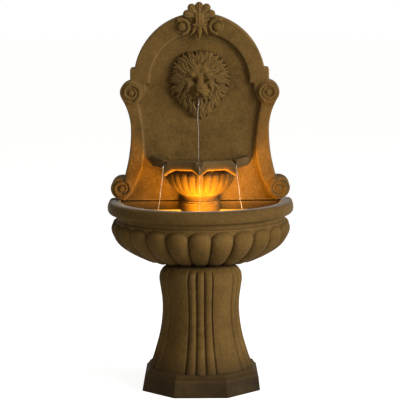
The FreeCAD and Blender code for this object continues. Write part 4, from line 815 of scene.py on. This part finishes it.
def add_face(mask):
    """The face: an oval with nose, muzzle, brows, eyes, cheeks, whisker lines and an open mouth."""
    x, z = mask.x, mask.z

    def block(half_x, middle_z, half_z, power=2.6):
        left = 1 - np.abs(x / half_x) ** power - np.abs((z - middle_z) / half_z) ** power
        return np.sqrt(np.clip(left, 0, None))

    def swelling(amount, at_x, at_z, wide, tall, slope=0.0):
        """A swelling, or a hollow, on both sides of the face."""
        total = 0
        for side in (-1, 1) if at_x else (1,):
            tilt = math.radians(slope) * side
            over, up = x - at_x * side, z - at_z
            u = over * math.cos(tilt) + up * math.sin(tilt)
            v = up * math.cos(tilt) - over * math.sin(tilt)
            total = total + amount * np.exp(-(u / wide) ** 2 - (v / tall) ** 2)
        return total

    oval = 1 - np.abs(x / 60) ** 2.3 - np.abs((z - 8) / 77) ** 2.3
    face = 31 + 13 * np.sqrt(np.clip(oval, 0, None))
    nose_half = 11 + 9 * smooth_step((30 - z) / 45)
    nose_length = smooth_step((60 - z) / 30) * smooth_step((z + 34) / 12)
    face += (9 + 7 * smooth_step((16 - z) / 26)) * np.exp(-(x / nose_half) ** 4) * nose_length
    face += 13 * block(35, -26, 20) + 6 * block(20, -14, 10, 2.2)
    for form in FACE_FORMS:
        face += swelling(*form)
    for side in (-1, 1):
        for line in (0, 1, 2):
            out = x * side
            off = z + 25 + 5.5 * line - 0.006 * (out - 30) ** 2
            face -= 2.2 * np.exp(-(off / 1.4) ** 2) * smooth_step((out - 12) / 6)
    lip = z + 43 + 0.016 * x ** 2
    gape = 1 - (x / 19) ** 2 - (np.where(lip > 0, lip / 4, lip / 8.5)) ** 2
    face = np.where(gape > 0, np.minimum(face, 42 + 12 * (1 - np.clip(gape * 3, 0, 1))), face)
    bearded = np.where(z < -52, mask.height > 0, False)
    mask.height = np.where((oval > 0) & ~bearded, np.maximum(mask.height, face), mask.height)
    mask.height = np.where(gape > 0, np.minimum(mask.height, face), mask.height)


def lion():
    """A lion's face in a mane of long wavy locks that sweep out, fall at the sides and meet in a beard."""
    mask = Relief(128, -142, 142, 1.0)
    add_mane(mask)
    add_face(mask)
    mask.soften()
    low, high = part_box("spout_nozzle")
    mask.piece("lion_head", (0, (low.z + high.z) / 2 + 0.048), FIELD_Y, ("lion_mask",))


def shell():
    """A five-lobed shell over a boss, a band, three leaves and two scrolls; heights run down from its top."""
    crest = Relief(106, -152, 4, 1.0)
    steps = np.linspace(0, 1, 60)
    even = 1 + 0 * steps
    heart = -62
    crest.dome(0, -50, 49, 33, 4, 3)
    crest.dome(0, -92, 52, 20, 1, 5)
    for degrees, length in ((0, 46.5), (36, 48.5), (-36, 48.5), (71, 48.5), (-71, 48.5)):
        along = 4 + (length - 4) * steps
        turn = math.radians(degrees)
        xs, zs = along * math.sin(turn), heart + along * math.cos(turn)
        crest.ridge(xs, zs, 1.5 + 0.315 * along, 4 + 4 * steps, 9 * even, strands=3, groove=0.14)
    # The boss and the band across it
    crest.ridge(0 * steps, -58 - 26 * steps, 18 - 1 * steps, 14 * even, 6 * even, strands=3, groove=0.2)
    crest.ridge(-22 + 44 * steps, -87 * even, 4.4 * even, 16 * even, 6 * even)
    # Leaves
    for side in (-1, 0, 1):
        xs = side * (14 + 20 * steps ** 1.3)
        zs = -89 - (59 if side == 0 else 39) * steps
        widths = (13 if side == 0 else 11) * (1 - steps ** 2.0) + 0.5
        crest.ridge(xs, zs, widths, 5 - 4 * steps, 10 - 4 * steps, strands=1, groove=0.1)
    # Scrolls
    for side in (-1, 1):
        crest.dome(side * 62, -95, 33, 33, 1, 4)
        crest.dome(side * 68, -95, 17, 17, 7, 10)
        turn = np.radians(-25 + 195 * steps)
        xs, zs = side * (68 - 27 * np.sin(turn)), -95 + 27 * np.cos(turn)
        widths = 9.6 * (1 - 0.35 * steps ** 2)
        crest.ridge(xs, zs, widths, 4 * even, 9 - 3 * steps, strands=2, groove=0.2)
    crest.soften()
    low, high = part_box("shell_crest")
    crest.piece("shell_crown", (0, high.z + 0.0008), high.y, ("shell_crest",))


def scroll(name, x, z, front, over):
    """A volute's face: a band that winds in to a round eye, turned upside down where over is -1."""
    face = Relief(45, -45, 45, 1.0)
    steps = np.linspace(0, 1, 160)
    face.dome(0, 0, 42, 42, 1.5, 1.5)
    turn = np.radians(-150 + 470 * steps)
    radius = 34.5 - 17 * steps
    side = -1 if x < 0 else 1
    xs, zs = side * radius * np.sin(turn), over * radius * np.cos(turn)
    face.ridge(xs, zs, 7.6 - 2.4 * steps, 2.5 + 0 * steps, 7 - 2 * steps)
    face.dome(0, 0, 12.5, 12.5, 3, 7)
    face.soften()
    face.piece(name, (x, z), front)


def carvings():
    """The castings whose shape scene.py shows in finer form than the solids."""
    gadrooned_basin()
    fluted_bowl()
    turned_riser()
    reeded_pedestal()
    lion()
    shell()
    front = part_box("back_panel")[0].y
    for side, sign in (("left", -1), ("right", 1)):
        scroll(f"low_scroll_{side}", sign * LOW_SCROLL[0], LOW_SCROLL[1], front, -1)
        scroll(f"top_scroll_{side}", sign * TOP_SCROLL[0], TOP_SCROLL[1], front, 1)


carvings()


WATER = clear_material("water", WHITE, 0.0, WATER_IOR, 0.5, 45)
# The lower pool's water, with the lamp's light painted into it as an amber glow
PAINTED_GLOW_WATER = clear_material("painted_glow_water", WHITE, 0.0, WATER_IOR, 0.5, 45, painted_glow=(1.0, 0.42, 0.03, 1.0))
BROKEN_WATER = clear_material("broken_water", WHITE, 0.1, WATER_IOR, 0.6, 160, 0.94)


def add_water(name, vertices, faces, material):
    """Water lets the lamp's light through, which a refracting mesh would otherwise stop."""
    made = add_piece(name, vertices, faces, material=material)
    made.visible_shadow = False


def pool(name, outline, level, material):
    """A thin slab of water with its surface at the given level."""
    count = len(outline)
    vertices = [(x, y, z) for z in (level, level - POOL_DEPTH) for x, y in outline]
    faces = [list(range(count)), list(range(2 * count - 1, count - 1, -1))]
    faces += [(i, count + i, count + (i + 1) % count, (i + 1) % count) for i in range(count)]
    add_water(name, vertices, faces, material)


def stream(name, path, radius, seed):
    """A falling thread of water through the given points, swelling and swaying a little."""
    draw = np.random.default_rng(seed)
    points = np.array(path)
    knots = np.arange(len(points))
    fall = np.linspace(0, len(points) - 1, 70)
    line = np.stack([[catmull(at, knots, points[:, axis]) for at in fall] for axis in range(3)], axis=1)
    share = np.linspace(0, 1, len(line))
    for axis in (0, 1):
        line[:, axis] += 0.0011 * share * np.sin(share * draw.uniform(16, 22) + draw.uniform(0, 6))
    long_swell = 0.22 * np.sin(share * draw.uniform(24, 30))
    short_swell = 0.12 * np.sin(share * draw.uniform(50, 60))
    radii = radius * (1 + long_swell + short_swell)
    turns = np.linspace(0, 2 * math.pi, 10, endpoint=False)
    count = len(turns)
    vertices = []
    for p, r in zip(line, radii):
        vertices += [(p[0] + r * math.cos(a), p[1] + r * math.sin(a), p[2]) for a in turns]
    last = (len(line) - 1) * count
    faces = quads(len(line), count, closed=True)
    faces += [list(range(count)), [last + i for i in range(count)]]
    add_water(name, vertices, faces, BROKEN_WATER)


def waters():
    """Pools in both basins, a stream from the mouth and one from each V spout."""
    low_water, bowl_water = RIM_LEVEL - LOW_POOL_DROP, BOWL_LEVEL - BOWL_POOL_DROP
    turns = np.linspace(-QUARTER_TURN, QUARTER_TURN, 60)
    basin_edge = [(LOW_POOL_RADIUS * math.sin(a), FIELD_Y - LOW_POOL_RADIUS * math.cos(a)) for a in turns]
    pool("lower_pool", basin_edge, low_water, PAINTED_GLOW_WATER)
    axis_y = bowl_axis()
    radii = [octagon_radius(a, BOWL_POOL_RADIUS) for a in turns]
    bowl_edge = [(r * math.sin(a), axis_y - r * math.cos(a)) for a, r in zip(turns, radii)]
    pool("bowl_pool", [(-radii[0], FIELD_Y)] + bowl_edge + [(radii[-1], FIELD_Y)], bowl_water, WATER)
    # From the lion's mouth: place across, way out from the nozzle's lip, and fall below it
    low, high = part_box("spout_nozzle")
    lip_y, lip_z = low.y, (low.z + high.z) / 2
    jet = [(x, lip_y - out, lip_z - fall) for x, out, fall in (
        (0, -0.006, 0), (-0.001, 0.016, 0.004), (-0.004, 0.030, 0.022), (-0.006, 0.034, 0.06),
        (-0.005, 0.037, 0.14))]
    jet.append((-0.004, lip_y - 0.039, bowl_water - 0.001))
    stream("mouth_stream", jet, 0.001, 3)
    # From the spouts: distance from the bowl's middle, and level
    spill = [(0.182, BOWL_LEVEL - 0.013), (0.1965, BOWL_LEVEL - 0.021), (0.1985, BOWL_LEVEL - 0.042),
             (0.206, BOWL_LEVEL - 0.09), (0.218, BOWL_LEVEL - 0.15), (0.229, low_water - 0.001)]
    for name, degrees, radius, seed in (("left_stream", -45, 0.0012, 4), ("front_stream", 0, 0.0008, 5),
                                        ("right_stream", 45, 0.0012, 6)):
        turn = math.radians(degrees)
        path = [(r * math.sin(turn), axis_y - r * math.cos(turn), z) for r, z in spill]
        stream(name, path, radius, seed)


waters()


def add_camera():
    """The photograph's camera, solved from the outlines of the plinth and the basin."""
    data = bpy.data.cameras.new("photo_camera")
    data.sensor_width = 36
    data.lens = 161.7
    camera = bpy.data.objects.new("photo_camera", data)
    camera.location = (0.06, -6.8, 1.64)
    pitch, heading, roll = math.radians(90 - 7.7), math.radians(0.51), math.radians(-0.4)
    aim = Euler((pitch, 0, heading)).to_matrix() @ Matrix.Rotation(roll, 3, "Z")
    camera.rotation_euler = aim.to_euler()
    scene.collection.objects.link(camera)
    scene.camera = camera


def area_light(name, at, aim, size, power, colour, hidden=False, wide=None):
    """A rectangular lamp; a hidden one lights the stone but isn't seen itself, nor in gloss or glass."""
    data = bpy.data.lights.new(name, "AREA")
    data.shape = "RECTANGLE"
    data.size_y = size
    data.size = wide or size
    data.energy = power
    data.color = colour
    light = bpy.data.objects.new(name, data)
    light.location = at
    light.rotation_euler = (Vector(aim) - Vector(at)).to_track_quat("-Z", "Y").to_euler()
    for seen in ("visible_camera", "visible_glossy", "visible_transmission"):
        setattr(light, seen, not hidden)
    scene.collection.objects.link(light)


def add_lights():
    """The studio's lamps, then the amber glow of the fountain's own lamp and of the water beside it."""
    area_light("key", (4.7, -3.1, 2.3), (0, 0, 0.8), 3.2, 520, (1.0, 0.975, 0.945))
    area_light("fill", (0.1, -4.2, 0.15), (0, 0, 0.55), 1.6, 64, (1.0, 0.94, 0.84))
    area_light("overhead", (0, -0.6, 4.3), (0, 0, 0.7), 2.6, 26, (1.0, 0.97, 0.92))
    amber = (1.0, 0.49, 0.03)
    lens = (0.018, LAMP_Y - 0.016, LENS_TOP + 0.004)
    area_light("lamp_glow", lens, (lens[0], lens[1] - 0.10, 2), 0.05, 11.9, amber, hidden=True, wide=0.13)
    for x, power in ((-0.20, 0.03), (0.20, 0.05)):
        water = (x, 0.075, RIM_LEVEL - 0.030)
        area_light("pool_glow", water, (x, 0.61, 0.95), 0.10, power, amber, hidden=True)


def shown_directly(tree):
    """1 for rays that show a surface, straight or by gloss or glass, and 0 for those that carry its light."""
    rays = tree.nodes.new("ShaderNodeLightPath").outputs
    seen = rays["Is Camera Ray"]
    for other in ("Is Glossy Ray", "Is Transmission Ray"):
        either = tree.nodes.new("ShaderNodeMath")
        either.operation = "MAXIMUM"
        tree.links.new(seen, either.inputs[0])
        tree.links.new(rays[other], either.inputs[1])
        seen = either.outputs["Value"]
    return seen


def add_world():
    """A white backdrop where it is seen, also by gloss and glass; its other light is a dim warm sky."""
    world = bpy.data.worlds.new("studio")
    scene.world = world
    world.use_nodes = True
    tree = world.node_tree
    tree.nodes.clear()
    ambient, white = (tree.nodes.new("ShaderNodeBackground") for _ in range(2))
    ambient.inputs["Color"].default_value = (1.0, 0.91, 0.75, 1)
    ambient.inputs["Strength"].default_value = 0.125
    white.inputs["Color"].default_value = WHITE
    white.inputs["Strength"].default_value = 1.0
    choose = tree.nodes.new("ShaderNodeMixShader")
    tree.links.new(shown_directly(tree), choose.inputs["Fac"])
    tree.links.new(ambient.outputs[0], choose.inputs[1])
    tree.links.new(white.outputs[0], choose.inputs[2])
    tree.links.new(choose.outputs[0], tree.nodes.new("ShaderNodeOutputWorld").inputs["Surface"])


def add_floor():
    """A pale floor that takes the fountain's shadow."""
    reach = 30
    mesh = bpy.data.meshes.new("floor")
    corners = [(-reach, -reach, 0), (reach, -reach, 0), (reach, reach, 0), (-reach, reach, 0)]
    mesh.from_pydata(corners, [], [(0, 1, 2, 3)])
    floor = bpy.data.objects.new("floor", mesh)
    scene.collection.objects.link(floor)
    s = Shader("pale_floor")
    speck = s.span(s.noise(40, 3), 0.3, 0.7)
    s.set(Base_Color=s.mix(speck, (0.44, 0.44, 0.44, 1), (0.48, 0.48, 0.48, 1)), Roughness=0.9,
          Emission_Color=WHITE, Emission_Strength=s.math("MULTIPLY", shown_directly(s.tree), 0.86))
    floor.data.materials.append(s.material)


add_camera()
add_lights()
add_world()
add_floor()
